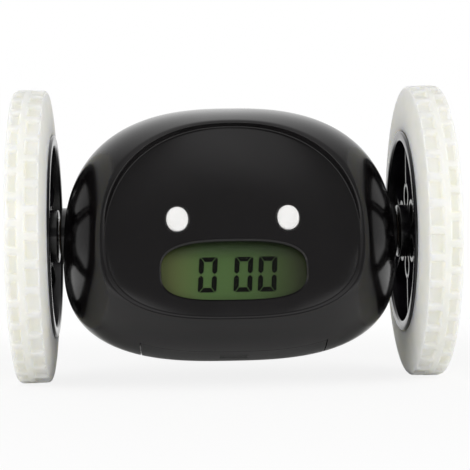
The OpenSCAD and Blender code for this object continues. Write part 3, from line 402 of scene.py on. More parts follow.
edgeTopZ = float(formPoint(rimForm, quarter, rimForm["edge"])[1])
edgeLowZ = float(formPoint(rimForm, -quarter, rimForm["edge"])[1])
edgeTopY = float(rimY(quarter) + evenStep(quarter))
faceSlope = (edgeTopY - float(rimY(-quarter) + evenStep(-quarter))) / (edgeTopZ - edgeLowZ)
faceTilt = atan(faceSlope)


def facePlane(z):
    return z * faceSlope - (edgeTopZ * faceSlope - edgeTopY)


# The step deepens at the upper corners, so that the face runs on evenly to its edge
def stepAt(t):
    z = formPoint(rimForm, t, rimForm["edge"])[1]
    return evenStep(t) + rimForm["deepen"] * np.maximum(0, facePlane(z) - rimY(t) - evenStep(t))


def faceY(t, g, z):
    q = g / rimForm["edge"]
    rest = rimY(t) + stepAt(t) - facePlane(formPoint(rimForm, t, rimForm["edge"])[1])
    return facePlane(z) - rimForm["bulge"] * (1 - q * q) + rest * q ** 8


def faceDepth(x, z):
    return (faceY(rimTurn(x, z), formShare(rimForm, x, z), z) - facePlane(z)) * cos(faceTilt)


# A place behind the tilted face: u across, v up the face, depth square to it
def behindFace(z0, u, v, depth):
    c, s = cos(faceTilt), sin(faceTilt)
    return stack(u, facePlane(z0) + depth * c + v * s, z0 + v * c - depth * s)


# Directions round the rim, spaced evenly to the eye
evenAngles = circle(320) + 1e-6
turns = rimTurn(np.cos(evenAngles) * 20, np.sin(evenAngles) * 20 - rimForm["drop"])


# Superellipse with its own power above and below, in steps of equal length
def oval(form, steps, margin=0.0, grow=0.0):
    a = circle(4000)
    n = np.where(np.sin(a) >= 0, *form["powers"])
    t = np.arctan2(power(np.sin(a), n / 2), power(np.cos(a), n / 2))
    w, h = (v + margin for v in form["size"])
    x, z = w / 2 * power(np.cos(t), 2 / n), h / 2 * power(np.sin(t), 2 / n)
    if grow:
        along = np.stack([np.roll(x, -1) - np.roll(x, 1), np.roll(z, -1) - np.roll(z, 1)])
        along /= np.linalg.norm(along, axis=0)
        x, z = x + along[1] * grow, z - along[0] * grow
    x, z = np.append(x, x[0]), np.append(z, z[0])
    reach = np.concatenate([[0], np.cumsum(np.hypot(np.diff(x), np.diff(z)))])
    at = np.linspace(0, reach[-1], steps, endpoint=False)
    return np.interp(at, reach, x), np.interp(at, reach, z)


# Openings in the shells and the pieces that fill them
window = {"size": (41.7, 16.9), "powers": (3.0, 3.2), "rise": -10.75, "gap": 0.0, "bevel": 0.45,
          "cut": 4.0, "steps": 160, "seat": 0.73, "plate": 1.0, "margin": 1.2}
ovalButton = {"size": (6.3, 7.25), "powers": (2.1, 2.1), "rise": 4.0, "gap": 0.3, "bevel": 0.25,
              "cut": 5.0, "steps": 72, "pitch": 32.0, "proud": 0.9, "skirt": 2.3, "flange": 1.25,
              "flangeThick": 0.7, "stem": 0.45}
door = {"width": 54.3, "length": 48.0, "gap": 0.35, "tall": 12.5, "hookX": 17.0, "hookWidth": 6.0,
        "hookThick": 0.8, "hookReach": 2.2, "ribX": 13.0, "ridges": 4, "ridgePitch": 1.3, "ridgeRadius": 0.34}
snooze = {"size": (34.0, 15.0), "powers": (2.5, 2.5), "gap": 0.3, "depth": 5.2, "round": 0.48,
          "travel": 1.2, "hollow": 2.2, "stem": 2.4}
rearButton = {"radius": 3.0, "pitch": 11.0, "rise": 10.0, "proud": 0.8, "gap": 0.3, "stem": 1.2,
              "flange": 1.2, "flangeThick": 0.8, "flangeDeep": 3.2, "round": 0.6, "dish": 0.24,
              "steps": {"wheels_button": -1.5, "interval_button": -0.5, "alarm_button": 0.5,
                        "time_button": 1.5}}
sound = {"hole": 0.9, "pitch": 4.0, "rise": -9.0, "circles": 3}
collar = {"inner": 45.6, "outer": 50.95, "radius": 8.6, "bore": 4.02, "round": 0.3, "room": 0.2}
posts = {"radius": 3.7, "pilot": 1.15, "pilotDeep": 7, "seat": 9.0, "head": 2.8, "hole": 1.45,
         "places": [(-30, 23.5), (30, 23.5), (-35, -23.4), (35, -23.4)]}


def between(a, b, share):
    return [p + (q - p) * share for p, q in zip(a, b)]


def frontSkinRings():
    def onFace(g):
        x, z = formPoint(rimForm, turns, g)
        return stack(x, faceY(turns, g, z), z)

    # share of the step's run, from the rim inwards
    def onStep(share):
        x, z = formPoint(rimForm, turns, 1 - (1 - rimForm["edge"]) * share)
        return stack(x, rimY(turns) + stepAt(turns) * share ** 2, z)

    def onSkin(share):
        x, z = between(formPoint(bodyForm, turns), formPoint(rimForm, turns), share)
        return stack(x, -skinY(x, z), z)

    rings = [onFace(g) for g in (0.006, 0.02, 0.05, *np.linspace(0.09, 0.93, 30), 0.94, 0.948)]
    # the hollow corner at the foot of the step, then the step with its rounded crest, then the skin
    corner = onFace(rimForm["hollow"]), onStep(1.0), onStep(rimForm["foot"])
    rings += [bend(*corner, s) for s in np.linspace(0, 1, 7)]
    rings += [onStep(share) for share in (0.68, 0.56, 0.45, 0.36, 0.28, 0.21, 0.15, 0.1, 0.05, 0.0)]
    rings += [onSkin(w) for w in (*(1 - np.linspace(0, 1, 46)[1:-1] ** 0.5 * 0.999), 0.0006, 0.0001)]
    return rings


def flatRing(y, off):
    x, z = formPoint(bodyForm, turns, off=off)
    return stack(x, y, z)


# How far a screw post may reach before it shows through the skin
def postReach(x, z):
    dz = z + bodyDrop
    away = hypot(x, dz)
    k = (away + posts["radius"]) / away
    return float(skinY(x * k, dz * k - bodyDrop, wall / 2))


def frontShell():
    skin = frontSkinRings()
    lip = -bodyForm["tongue"] - 0.2
    inner = [flatRing(0, bodyForm["bevel"])]
    inner += [flatRing(y, off) for y, off in ((0, wall / 2), (lip, wall / 2), (lip, wall))]

    def inside(x, z):
        return stack(x, np.maximum(-skinY(x, z, wall), faceY(turns, formShare(rimForm, x, z), z) + wall), z)

    ends = formPoint(bodyForm, turns, off=wall), formPoint(rimForm, turns, 0.94)
    inner += [inside(*between(*ends, w)) for w in np.linspace(0.02, 1, 18) ** 2.2]
    inner += [inside(*formPoint(rimForm, turns, g)) for g in (0.85, 0.7, 0.5, 0.3, 0.1)]
    middle = -rimForm["drop"]
    tips = [(0.001, float(faceY(quarter, 0.0, middle)) + deep, middle + axleHeight) for deep in (0, wall)]
    shell = meshPiece("frontShell", *loftFaces(skin + inner, *tips), glossBlack)
    normalAt = skinGuide(skin, tips[0])
    carve(shell, "UNION", [halfCollar(s, -1) for s in sides.values()]
          + [rodTool("y", -postReach(*p), 0, posts["radius"], p) for p in posts["places"]])
    carve(shell, "DIFFERENCE", [axleHole(s) for s in sides.values()]
          + [doorTool(), snoozeTool(), faceTool(window), windowSeat()]
          + [faceTool(ovalButton, s * ovalButton["pitch"] / 2) for s in sides.values()]
          + postRods(-posts["pilotDeep"], 1, posts["pilot"], 24))
    finishShell(shell, normalAt)
    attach(shell, "clock_body")
    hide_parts("front_shell")


# The outer skin alone. It gives its even normal at a point of the cut shell, so that reflections
# run on past a cut, or None where the point isn't on the skin.
def skinGuide(rings, tip=None, tipEnd=None):
    points, faces = loftFaces(rings, tip, tipEnd)
    points, faces = [tuple(p) for p in points * mm], outward(points, faces)
    mesh = bpy.data.meshes.new("guide")
    mesh.from_pydata(points, [], faces)
    normals = np.zeros(len(mesh.vertices) * 3, np.float32)
    mesh.vertex_normals.foreach_get("vector", normals)
    normals = normals.reshape(-1, 3)
    bpy.data.meshes.remove(mesh)
    tree = BVHTree.FromPolygons(points, faces)
    known = {tuple(np.round(p, 7)): normals[i] for i, p in enumerate(points)}

    def normalAt(co):
        found = known.get(tuple(np.round(np.array(co), 7)))
        if found is not None:
            return found
        place, _, index, distance = tree.find_nearest(co, 0.00002)
        if place is None or distance > 0.000004:
            return None
        weights = [1 / (1e-9 + (Vector(points[c]) - place).length) for c in faces[index]]
        total = sum(w * normals[c] for w, c in zip(weights, faces[index]))
        return total / np.linalg.norm(total)
    return normalAt


def finishShell(shell, normalAt):
    mesh = shell.data
    shade(mesh, 30)
    found = [normalAt(v.co) for v in mesh.vertices]
    normals = np.zeros(len(mesh.loops) * 3, np.float32)
    mesh.corner_normals.foreach_get("vector", normals)
    normals = normals.reshape(-1, 3)
    for face in mesh.polygons:
        ends = [found[v] for v in face.vertices]
        if any(n is None for n in ends):
            continue
        # a face that turns away from the skin keeps its own normals
        if min(float(n @ np.array(face.normal)) for n in ends) < 0.8:
            continue
        for loop, n in zip(face.loop_indices, ends):
            normals[loop] = n
    mesh.normals_split_custom_set([tuple(n) for n in normals])


# Short collar round the axle, of which each shell carries one half
def halfCollar(side, half):
    a = np.linspace(0, pi, 49) - half * quarter
    inner, outer, r, soft = (collar[k] for k in ("inner", "outer", "radius", "round"))
    rings = [stack(side * x, k * np.cos(a), k * np.sin(a))
             for x, k in ((inner, r), (outer - soft, r), (outer, r - soft))]
    tips = [(side * x, 0, axleHeight) for x in (inner, outer)]
    return tool("collar", *loftFaces(rings[::side], *tips[::side]))


def axleHole(side):
    return rodTool("x", *span(side, 40, 60), collar["bore"], steps=64)


def doorTool():
    x = door["width"] / 2 + door["gap"]
    y = door["length"] / 2 + door["gap"]
    low = -bodyDrop - bodyForm["down"] - 2
    return boxTool((-x, -y, low), (x, y, low + door["tall"]))


def snoozeTool():
    top = float(skinZ(0.0, 0.0))
    x, y = oval(snooze, 120, grow=snooze["gap"])
    return loftTool("snoozeCut", [stack(x, y, top + way) for way in (-10, 10)])


# A cutter square to the tilted face, which widens into a bevel as it meets the curved face
def faceTool(form, u0=0.0):
    z0, bevel = form["rise"], form["bevel"]

    def ring(grow, depth, follow):
        u, v = oval(form, form["steps"], 2 * form["gap"], grow)
        surface = faceDepth(u + u0, z0 + v * cos(faceTilt)) if follow else 0
        return behindFace(z0, u + u0, v, surface + depth)
    return loftTool("faceCut", [ring(0.0, form["cut"], False), ring(0.0, bevel, True),
                                ring(bevel + 1.0, -1.0, True), ring(bevel + 1.0, -5.0, False)])


def windowSeat():
    u, v = oval(window, window["steps"], 2 * window["margin"] + 0.2)
    return loftTool("seat", [behindFace(window["rise"], u, v, depth) for depth in (6.4, window["seat"])])


def rearRings(off, angles):
    p = bodyForm["depthPower"]
    x, z = formPoint(bodyForm, turns, off=off)
    rings = []
    for a in angles:
        s, y = cos(a) ** (2 / p), (halfDepth - off) * sin(a) ** (2 / p)
        rings.append(stack(x * s, y, (z + bodyDrop) * s - bodyDrop))
    return rings


# A point on the housing's middle line
def middlePoint(y):
    return 0, y, axleHeight - bodyDrop


def postRods(low, high, radius, steps=48):
    return [rodTool("y", low, high, radius, p, steps) for p in posts["places"]]


# Trims rods to what lies inside a form
def keepWithin(rods, form):
    for rod in rods:
        carve(rod, "INTERSECT", [newObject("copy", form.data.copy())])
    bpy.data.objects.remove(form)
    return rods


# Posts that end inside the curved wall, so that each screw hole keeps its tube all round
def rearPosts():
    off = wall / 2
    rings = [flatRing(0, off)] + rearRings(off, np.radians(np.linspace(2, 89, 40)))
    core = tool("core", *loftFaces(rings, middlePoint(0), middlePoint(halfDepth - off)))
    return keepWithin(postRods(0.02, halfDepth, posts["radius"]), core)


# One sound hole in the middle of circles of six, twelve and so on
def soundHoles():
    holes = []
    for ring in range(sound["circles"]):
        count = max(1, 6 * ring)
        r = ring * sound["pitch"]
        for a in circle(count):
            place = (r * cos(a), sound["rise"] + r * sin(a))
            holes.append(rodTool("y", 30, 60, sound["hole"], place, 32))
    return holes


# Room in the rear shell for the front shell's half of each collar
def collarRoom():
    rods = [rodTool("x", *span(s, 43.6, 60), collar["radius"] + collar["room"]) for s in sides.values()]
    return keepWithin(rods, boxTool((-70, -20, -20), (70, 0, 20)))


def rearShell():
    steps = np.linspace(0, 1, 64)[1:-1]
    outer = [flatRing(1e-4, 0)] + rearRings(0, np.radians(89.5 * steps ** 1.25))
    inside = rearRings(wall, np.radians(89 * np.linspace(0.02, 1, 26)[:-1]))[::-1]
    lip = [flatRing(-bodyForm["tongue"], wall), flatRing(-bodyForm["tongue"], wall / 2 + 0.1),
           flatRing(0, wall / 2 + 0.1), flatRing(0, bodyForm["bevel"])]
    tips = middlePoint(halfDepth - wall), middlePoint(halfDepth)
    shell = meshPiece("rearShell", *loftFaces(inside + lip + outer, *tips), glossBlack)
    normalAt = skinGuide(outer, None, tips[1])
    carve(shell, "UNION", [halfCollar(s, 1) for s in sides.values()] + rearPosts())
    holes = [rodTool("y", 20, 60, rearButton["radius"] + rearButton["gap"],
                     (k * rearButton["pitch"], rearButton["rise"])) for k in rearButton["steps"].values()]
    holes += soundHoles()
    holes += postRods(-1, posts["seat"] + 1, posts["hole"], 32) + postRods(posts["seat"], 60, posts["head"])
    carve(shell, "DIFFERENCE", [axleHole(s) for s in sides.values()] + [doorTool(), snoozeTool()]
          + holes + collarRoom())
    finishShell(shell, normalAt)
    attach(shell, "clock_body")
    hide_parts("rear_shell")


frontShell()
rearShell()
print("stage: shells made")


# A low rib inside the door, scalloped by the cells that it stands between
def scallopedRib(x):
    cells = {"places": (-14.2, -3.4, 7.4, 18.2), "z": -24.05, "radius": 5.55, "half": 0.75, "low": -35.2,
             "drop": 2.7}
    half = cells["half"]
    rib = boxTool((x - half, cells["places"][0], cells["low"]),
                  (x + half, cells["places"][-1], cells["z"] - cells["drop"]))
    carve(rib, "DIFFERENCE", [rodTool("x", x - 3, x + 3, cells["radius"], (y, cells["z"]))
                              for y in cells["places"]])
    return rib


# A lid cut from the housing's curve, with ribs, two hooks at the back and grip ridges at the front
def batteryDoor():
    nx, ny = 72, 64
    back = door["length"] / 2
    xs = np.linspace(-door["width"] / 2, door["width"] / 2, nx + 1)
    gx, gy = np.meshgrid(xs, np.linspace(-back, back, ny + 1), indexing="ij")
    gx, gy = gx.ravel(), gy.ravel()
    layers = [stack(gx, gy, skinZ(gx, gy, off, False)) for off in (0.0, wall)]
    n = ny + 1
    count = (nx + 1) * n
    faces = []
    for a in (i * n + j for i in range(nx) for j in range(ny)):
        faces.append([a, a + 1, a + n + 1, a + n])
        faces.append([count + a, count + a + n, count + a + n + 1, count + a + 1])
    corner = nx * n
    rim = [*range(0, corner, n), *range(corner, corner + ny), *range(corner + ny, ny, -n), *range(ny, 0, -1)]
    faces += [[p, q, q + count, p + count] for p, q in zip(rim, rim[1:] + rim[:1])]
    lid = meshPiece("batteryDoor", np.concatenate(layers), faces, glossBlack)
    half = door["hookWidth"] / 2
    hookZ = float(skinZ(door["hookX"] + half, back + 2.6, wall, False)) + 0.25
    hookTop = hookZ + door["hookThick"]
    parts = [scallopedRib(s * door["ribX"]) for s in sides.values()]
    for s in sides.values():
        x0, x1 = s * door["hookX"] - half, s * door["hookX"] + half
        parts.append(boxTool((x0, back - 1.5, hookZ - 2.2), (x1, back - 0.4, hookTop)))
        parts.append(boxTool((x0, back - 0.5, hookZ), (x1, back + door["hookReach"], hookTop)))
    for k in range(door["ridges"]):
        y = -back + 2.4 + door["ridgePitch"] * k
        z = float(skinZ(0.0, y, 0.0, False))
        parts.append(rodTool("x", -4, 4, door["ridgeRadius"], (y + 0.25, z + 0.24), 20))
    carve(lid, "UNION", parts)
    shade(lid.data, 30)
    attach(lid, "battery_door")
    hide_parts("battery_door")


batteryDoor()


# A curved bar with a soft edge, hollow below, and a stem that ends just above its switch
def snoozeButton():
    top = float(skinZ(0.0, 0.0))
    low = top - snooze["depth"]
    x, y = oval(snooze, 144)

    def crown(k, off=0.0):
        return stack(x * k, y * k, skinZ(x * k, y * k, off))
    rings = [crown(k) for k in np.linspace(0.02, 0.93, 24)]
    for a in np.radians((15, 35, 55, 75, 90)):
        rings.append(crown(0.945 + 0.055 * sin(a), snooze["round"] * (1 - cos(a))))
    rings += [stack(x * k, y * k, z) for k, z in ((1, low), (0.9, low), (0.9, low + snooze["hollow"]))]
    tips = [(0, 0, z + axleHeight) for z in (top, low + snooze["hollow"])]
    button = meshPiece("snoozeButton", *loftFaces(rings, *tips), glossBlack, "snooze_button")
    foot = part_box("snooze_switch")[1].z / mm + snooze["travel"] + 0.1 - axleHeight
    carve(button, "UNION", [rodTool("z", foot, low + 2.4, snooze["stem"])])
    shade(button.data, 30)
    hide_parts("snooze_button")


snoozeButton()


def camelName(name):
    first, second = name.split("_")
    return first + second.capitalize()


# A pillowed oval in the tilted face, with a flange behind the shell and a stem to its switch
def faceButton(name, side):
    z0, u0 = ovalButton["rise"], side * ovalButton["pitch"] / 2
    surface = float(faceDepth(abs(u0), z0))
    u, v = oval(ovalButton, 96)
    foot = (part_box(name)[1].y / mm - facePlane(z0)) / cos(faceTilt) - 0.5
    top = surface - ovalButton["proud"]
    near = surface + ovalButton["skirt"]
    far = near + ovalButton["flangeThick"]

    def ring(k, depth):
        return behindFace(z0, u * k + u0, v * k, depth)
    rings = []
    for a in np.radians((8, 16, 24, 32, 40, 48, 56, 64, 72, 80, 90)):
        rings.append(ring(sin(a) ** 0.8, surface - ovalButton["proud"] * cos(a) ** 0.85))
    flange, stem = ovalButton["flange"], ovalButton["stem"]
    rings += [ring(1, near), ring(flange, near), ring(flange, far), ring(stem, far), ring(stem, foot)]
    points, faces = loftFaces(rings, ring(0, top)[0], ring(0, foot)[0])
    button = meshPiece(camelName(name), points, faces, buttonWhite, name, 40)
    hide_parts(name)


faceButton("hour_button", -1)
faceButton("minute_button", 1)


# A small round button with a soft edge and a slightly sunk top
def rearSettingButton(name, step):
    x, z = step * rearButton["pitch"], rearButton["rise"]
    low, high = (corner.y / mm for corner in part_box(name))
    r, soft, stem, dish = (rearButton[k] for k in ("radius", "round", "stem", "dish"))
    near = high - rearButton["proud"] - rearButton["flangeDeep"]
    far = near + rearButton["flangeThick"]
    top = float(skinY(x, z)) + rearButton["proud"]
    wide = r + rearButton["flange"]
    profile = [(stem, low), (stem, near), (wide, near), (wide, far), (r, far), (r, top - soft)]
    for b in np.radians((20, 40, 60, 80)):
        profile.append((r - soft * (1 - cos(b)), top - soft + soft * sin(b)))
    profile += [(r - 0.9, top), (r - 1.1, top - 0.05), (stem, top - dish + 0.02), (0.4, top - dish)]
    a = circle(64)
    rings = [stack(x - radius * np.cos(a), y, z + radius * np.sin(a)) for radius, y in profile]
    points, faces = loftFaces(rings, (x, low, z + axleHeight), (x, top - dish, z + axleHeight))
    button = meshPiece(camelName(name), points, faces, buttonBlack, name, 40)
    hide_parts(name)


for name, step in rearButton["steps"].items():
    rearSettingButton(name, step)
print("stage: door and buttons made")


def displayWindow():
    u, v = oval(window, window["steps"], 2 * window["margin"])
    z0, seat = window["rise"], window["seat"]
    rings = [behindFace(z0, u * 0.985, v * 0.97, seat), behindFace(z0, u, v, seat + 0.12),
             behindFace(z0, u, v, seat + window["plate"])]
    points, faces = loftFaces(rings, rings[0].mean(0), rings[-1].mean(0))
    plate = meshPiece("displayWindow", points, faces, acrylic, "clock_body")
    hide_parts("display_window")


displayWindow()
print("stage: display made")


tyreForm = {"radius": 44.5, "inner": 53.3, "outer": 65.5, "bore": 30.7, "neck": 0.5, "slope": 1.2,
            "shoulder": 1.4, "pockets": 36, "share": 0.7, "depth": 1.1, "soft": 0.34, "key": 0.85,
            "rows": {"inner": (54.8, 58.55), "outer": (60.75, 63.25)}}
hubForm = {"bed": 30.68, "rim": 27.7, "inner": 52.6, "outer": 64.9, "round": 0.7, "key": 0.9,
           "webIn": 61.3, "webOut": 62.9, "boss": 8.0, "bossIn": 51.9, "bore": 1.52, "spokes": 6,
           "spokeWidth": 4.0, "windowIn": 11.5, "windowOut": 25.1, "windowRound": 1.0, "ribThick": 1.2,
           "ribHigh": 6.4, "arch": 4.2, "archAt": 10.6, "capThick": 1.8}
keyMiddle = (tyreForm["inner"] + tyreForm["outer"]) / 2  # where a ridge of the tyre sits in the hub's groove
keyWidth = 5.8


def softStep(v):
    v = np.clip(v, 0, 1)
    return v * v * (3 - 2 * v)


def tyre(sideName):
    side = sides[sideName]
    f = tyreForm
    r, bore, neck, slope = (f[k] for k in ("radius", "bore", "neck", "slope"))
    shoulder, soft, rows = (f[k] for k in ("shoulder", "soft", "rows"))

    # from the bore up one flank and over its shoulder; way is 1 at the body, -1 outside
    def flank(face, way):
        points = [(keyMiddle - way * keyWidth / 2, bore), (face + way * neck, bore),
                  (face + way * 0.15, bore + 0.15), (face, bore + neck)]
        for s in np.linspace(0, 1, 12)[1:]:
            points.append((face + way * slope * s, bore + neck + (r - shoulder - bore - neck) * s))
        for a in np.radians((18, 36, 54, 72)):
            points.append((face + way * (slope + shoulder * (1 - cos(a))),
                           r - shoulder + shoulder * sin(a)))
        return points

    # lines where the tread bends into its pockets, across it and then round it
    knots = np.array([-1, -0.6, -0.2, 0.2, 0.6, 1])
    first, last = f["inner"] + slope + shoulder, f["outer"] - slope - shoulder
    crossing = list(np.linspace(first, last, 9))
    for row in rows.values():
        for edge in row:
            crossing += list(edge + soft * knots)
    tread = [(x, r) for x in sorted({round(x, 3) for x in crossing if first <= x <= last})]
    ridge = [(keyMiddle + way * keyWidth / 2, bore - f["key"]) for way in (1, -1)]
    profile = flank(f["inner"], 1) + tread + flank(f["outer"], -1)[::-1] + ridge
    pitch = 360 / f["pockets"]
    softShare = soft / (2 * pi * r / f["pockets"])
    half = f["share"] / 2
    lines = [0.0, 0.25, 0.5, 0.75]
    for edge in (half, 1 - half, 0.5 - half, 0.5 + half):
        lines += list(edge + softShare * knots)
    lines = np.array(sorted(l % 1 for l in lines))
    turn = np.radians(np.concatenate([(i + lines) * pitch for i in range(f["pockets"])]))
    place = (np.degrees(turn) / pitch) % 1

    def inPocket(x, centre, low, high):
        away = np.abs((place - centre + 0.5) % 1 - 0.5)
        along = 1 - softStep((away - half) / (2 * softShare) + 0.5)
        across = softStep((x - low) / (2 * soft) + 0.5) * (1 - softStep((x - high) / (2 * soft) + 0.5))
        return along * across
    rings = []
    for x, radius in profile:
        dip = 0
        if radius > r - shoulder - 0.01:
            dip = f["depth"] * (inPocket(x, 0.5, *rows["inner"]) + inPocket(x, 0.0, *rows["outer"]))
        rr = radius - np.maximum(0, dip - (r - radius))
        rings.append(stack(side * x, rr * np.sin(turn), rr * np.cos(turn)))
    piece = meshPiece(sideName + "Tyre", *closedLoft(rings), rubberWhite, sideName + "_wheel", 50)
    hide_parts(sideName + "_tyre")


for name in sides:
    tyre(name)
print("stage: tyres made")


# Turns flat points of (y, z) round the axle
def swing(flat, angle):
    c, s = cos(angle), sin(angle)
    return flat[:, 0] * c - flat[:, 1] * s, flat[:, 0] * s + flat[:, 1] * c


# A cutter for the opening between two spokes, with soft corners
def spokeWindow(side, angle):
    f = hubForm
    half = pi / f["spokes"]

    def arc(r, flip):
        reach = half - asin(f["spokeWidth"] / 2 / r)
        return [np.array((r * cos(b), r * sin(b))) for b in np.linspace(-reach, reach, 25)[::flip]]
    corners = arc(f["windowOut"], 1) + arc(f["windowIn"], -1)
    soft = []
    for i, p in enumerate(corners):
        before, after = corners[i - 1] - p, corners[(i + 1) % len(corners)] - p
        turn = abs(atan2(before[0] * after[1] - before[1] * after[0], before @ after))
        if turn > 2.6:  # nearly straight, so a point of an arc
            soft.append(p)
            continue
        a, b = (p + way / np.linalg.norm(way) * f["windowRound"] for way in (before, after))
        soft += [bend(a, p, b, s) for s in np.linspace(0, 1, 6)]
    y, z = swing(np.array(soft), angle)
    return loftTool("spokeWindow", [stack(x, y, z) for x in span(side, f["webIn"] - 1, f["webOut"] + 1)])


# A tube that stands on the web at the foot of a spoke
def archTool(side, angle):
    f = hubForm
    x0, x1 = f["webIn"] - f["ribHigh"], f["webIn"] + 0.1
    at = (f["archAt"] * cos(angle), f["archAt"] * sin(angle))
    arch = rodTool("x", *span(side, x0, x1), f["arch"], at, 64)
    hollow = rodTool("x", *span(side, x0 - 1, x1 - 0.1), f["arch"] - f["ribThick"], at, 64)
    carve(arch, "DIFFERENCE", [hollow])
    return arch


def radialRib(side, angle):
    f = hubForm
    half = f["ribThick"] / 2
    start, end = f["archAt"] + f["arch"] - half, f["rim"] + 0.2
    y, z = swing(np.array([(start, -half), (end, -half), (end, half), (start, half)]), angle)
    ends = [stack(x, y, z) for x in span(side, f["webIn"] - f["ribHigh"], f["webIn"] + 0.1)]
    return tool("rib", np.concatenate(ends), boxFaces)


def hub(sideName):
    side = sides[sideName]
    f = hubForm
    bed, rim, boss, bore, soft = (f[k] for k in ("bed", "rim", "boss", "bore", "round"))
    inner, outer, webIn, webOut, bossIn = (f[k] for k in ("inner", "outer", "webIn", "webOut", "bossIn"))
    groove, k0, k1 = bed - f["key"], keyMiddle - keyWidth / 2 - 0.05, keyMiddle + keyWidth / 2 + 0.05
    profile = [(inner, rim, soft), (inner, bed, soft), (k0, bed, 0), (k0, groove, 0), (k1, groove, 0),
               (k1, bed, 0), (outer, bed, soft), (outer, rim, soft), (webOut, rim, 0.6),
               (webOut, boss - 1.6, 0), (webIn, boss - 1.6, 0), (webIn, rim, 0.6)]
    wheel = meshPiece(sideName + "Hub", *turned(side, profile, 192), wheelBlack)
    angles = circle(f["spokes"])
    spokesAt = angles + pi / f["spokes"]
    carve(wheel, "DIFFERENCE", [spokeWindow(side, a) for a in angles])
    # the boss is a cup that opens outwards, round a thinner tube for the axle
    socket = boss - 1.4
    tube = [(bossIn, bore, 0), (bossIn, boss, 0.4), (webOut, boss, 0), (webOut, socket, 0),
            (bossIn + 2.4, socket, 0), (bossIn + 2.4, 3.4, 0), (webIn - 3.4, 3.4, 0), (webIn - 3.4, bore, 0)]
    joinShells(wheel, [archTool(side, a) for a in spokesAt] + [radialRib(side, a) for a in spokesAt]
               + [tool("boss", *turned(side, tube, 96))])
    shade(wheel.data, 30)
    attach(wheel, sideName + "_wheel")
    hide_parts(sideName + "_hub")
    top = webOut + f["capThick"]
    cap = [(webOut - 1.6, 0.01, 0), (webOut - 1.6, boss - 1.45, 0), (webOut, boss - 1.45, 0),
           (webOut, boss, 0), (top - 0.7, boss, 0.6), (top, boss - 1.6, 1.0), (top, 0.01, 0)]
    lid = meshPiece(sideName + "HubCap", *turned(side, cap, 96), wheelBlack, sideName + "_wheel")
    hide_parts(sideName + "_hub_cap")


for name in sides:
    hub(name)
print("stage: hubs made")


# Finishes of the frame's own pieces: colours, gloss, size and depth of the grain in mm, metal or not,
# and the pieces, where a name that begins with "_" stands for a piece on either side
def dressFrame():
    looks = {
        # green lacquer with a soft shine
        "solderMaskedBoard": (("#12452a", "#185535"), (0.25, 0.4), 1.0, 0.01, 0,
                              "main_board snooze_switch rear_board"),
        # dull charcoal
        "mouldedEpoxy": (("#161616", "#202020"), (0.45, 0.6), 0.5, 0.01, 0,
                         "board_parts face_switches rear_switches"),
        # half-matt grey
        "mouldedGreyNylon": (("#2f3033", "#3b3c40"), (0.4, 0.55), 0.8, 0.012, 0,
                             "lcd_frame chassis _gearbox_case _gearbox_cover"),
        # bright, with a fine grind
        "groundSteel": (("#a3a4a5", "#c2c3c4"), (0.18, 0.32), 0.3, 0.004, 1,
                        "shell_screws _hub_screw _axle _motor_shaft _gear_pins"),
        # bright and a little warmer
        "nickelPlatedSpringSteel": (("#b4b2ac", "#d2d0ca"), (0.2, 0.3), 0.5, 0.004, 1, "battery_contacts"),
        # yellow, with a lathe's shine
        "turnedBrass": (("#b08c48", "#cfab66"), (0.2, 0.34), 0.4, 0.004, 1, "buzzer _motor_pinion"),
        # dark and oily
        "oiledSinteredBronze": (("#3a3128", "#4a3f32"), (0.45, 0.6), 0.2, 0.01, 1, "_axle_bush"),
        # pale grey, half bright
        "drawnZincPlatedCan": (("#a5a6a4", "#bfc0be"), (0.22, 0.36), 1.5, 0.006, 1, "_motor"),
        # half-matt ivory
        "mouldedIvoryNylon": (("#ddd8c8", "#e9e5d8"), (0.4, 0.5), 0.8, 0.01, 0, "_motor_end"),
        # slick cream white
        "mouldedWhiteAcetal": (("#dedacb", "#ebe8dc"), (0.28, 0.4), 0.6, 0.006, 0,
                               "_output_gear _second_gear _first_gear"),
        # taut grey film
        "shrunkCellJacket": (("#3c4146", "#4a5056"), (0.2, 0.3), 2.0, 0.01, 0, "batteries"),
        # light leaf green
        "mouldedGreenLightPlate": (("#7fa648", "#93bd58"), (0.3, 0.4), 2.0, 0.01, 0, "backlight"),
        # digits so dark that they mirror nothing
        "switchedCrystalInk": (("#060706", "#090a08"), (0.4, 0.5), 1.0, 0.001, 0, "lcd_digits")}
    width, height = window["size"]
    finishes = {"lcd_glass": crystalGlass(window["rise"], width / 2, height / 2 * cos(faceTilt))}
    for name, (colours, gloss, size, depth, metal, pieces) in looks.items():
        look = {"colours": colours, "flow": size * 4, "gloss": gloss, "cloud": size * 2}
        material = finish(name, {**look, "wave": (size, depth, 3.0)}, Metallic=metal)
        for piece in pieces.split():
            for node in ([s + piece for s in sides] if piece[0] == "_" else [piece]):
                finishes[node] = material
    ink = finishes["lcd_digits"].node_tree.nodes["Principled BSDF"]
    ink.inputs["Specular IOR Level"].default_value = 0.1
    for name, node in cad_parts.items():
        if name in finishes:
            node.data.materials.clear()
            node.data.materials.append(finishes[name])
            shade(node.data, 30)
        elif not node.hide_render:
            raise ValueError("no finish for " + name)


dressFrame()
print("stage: frame dressed")


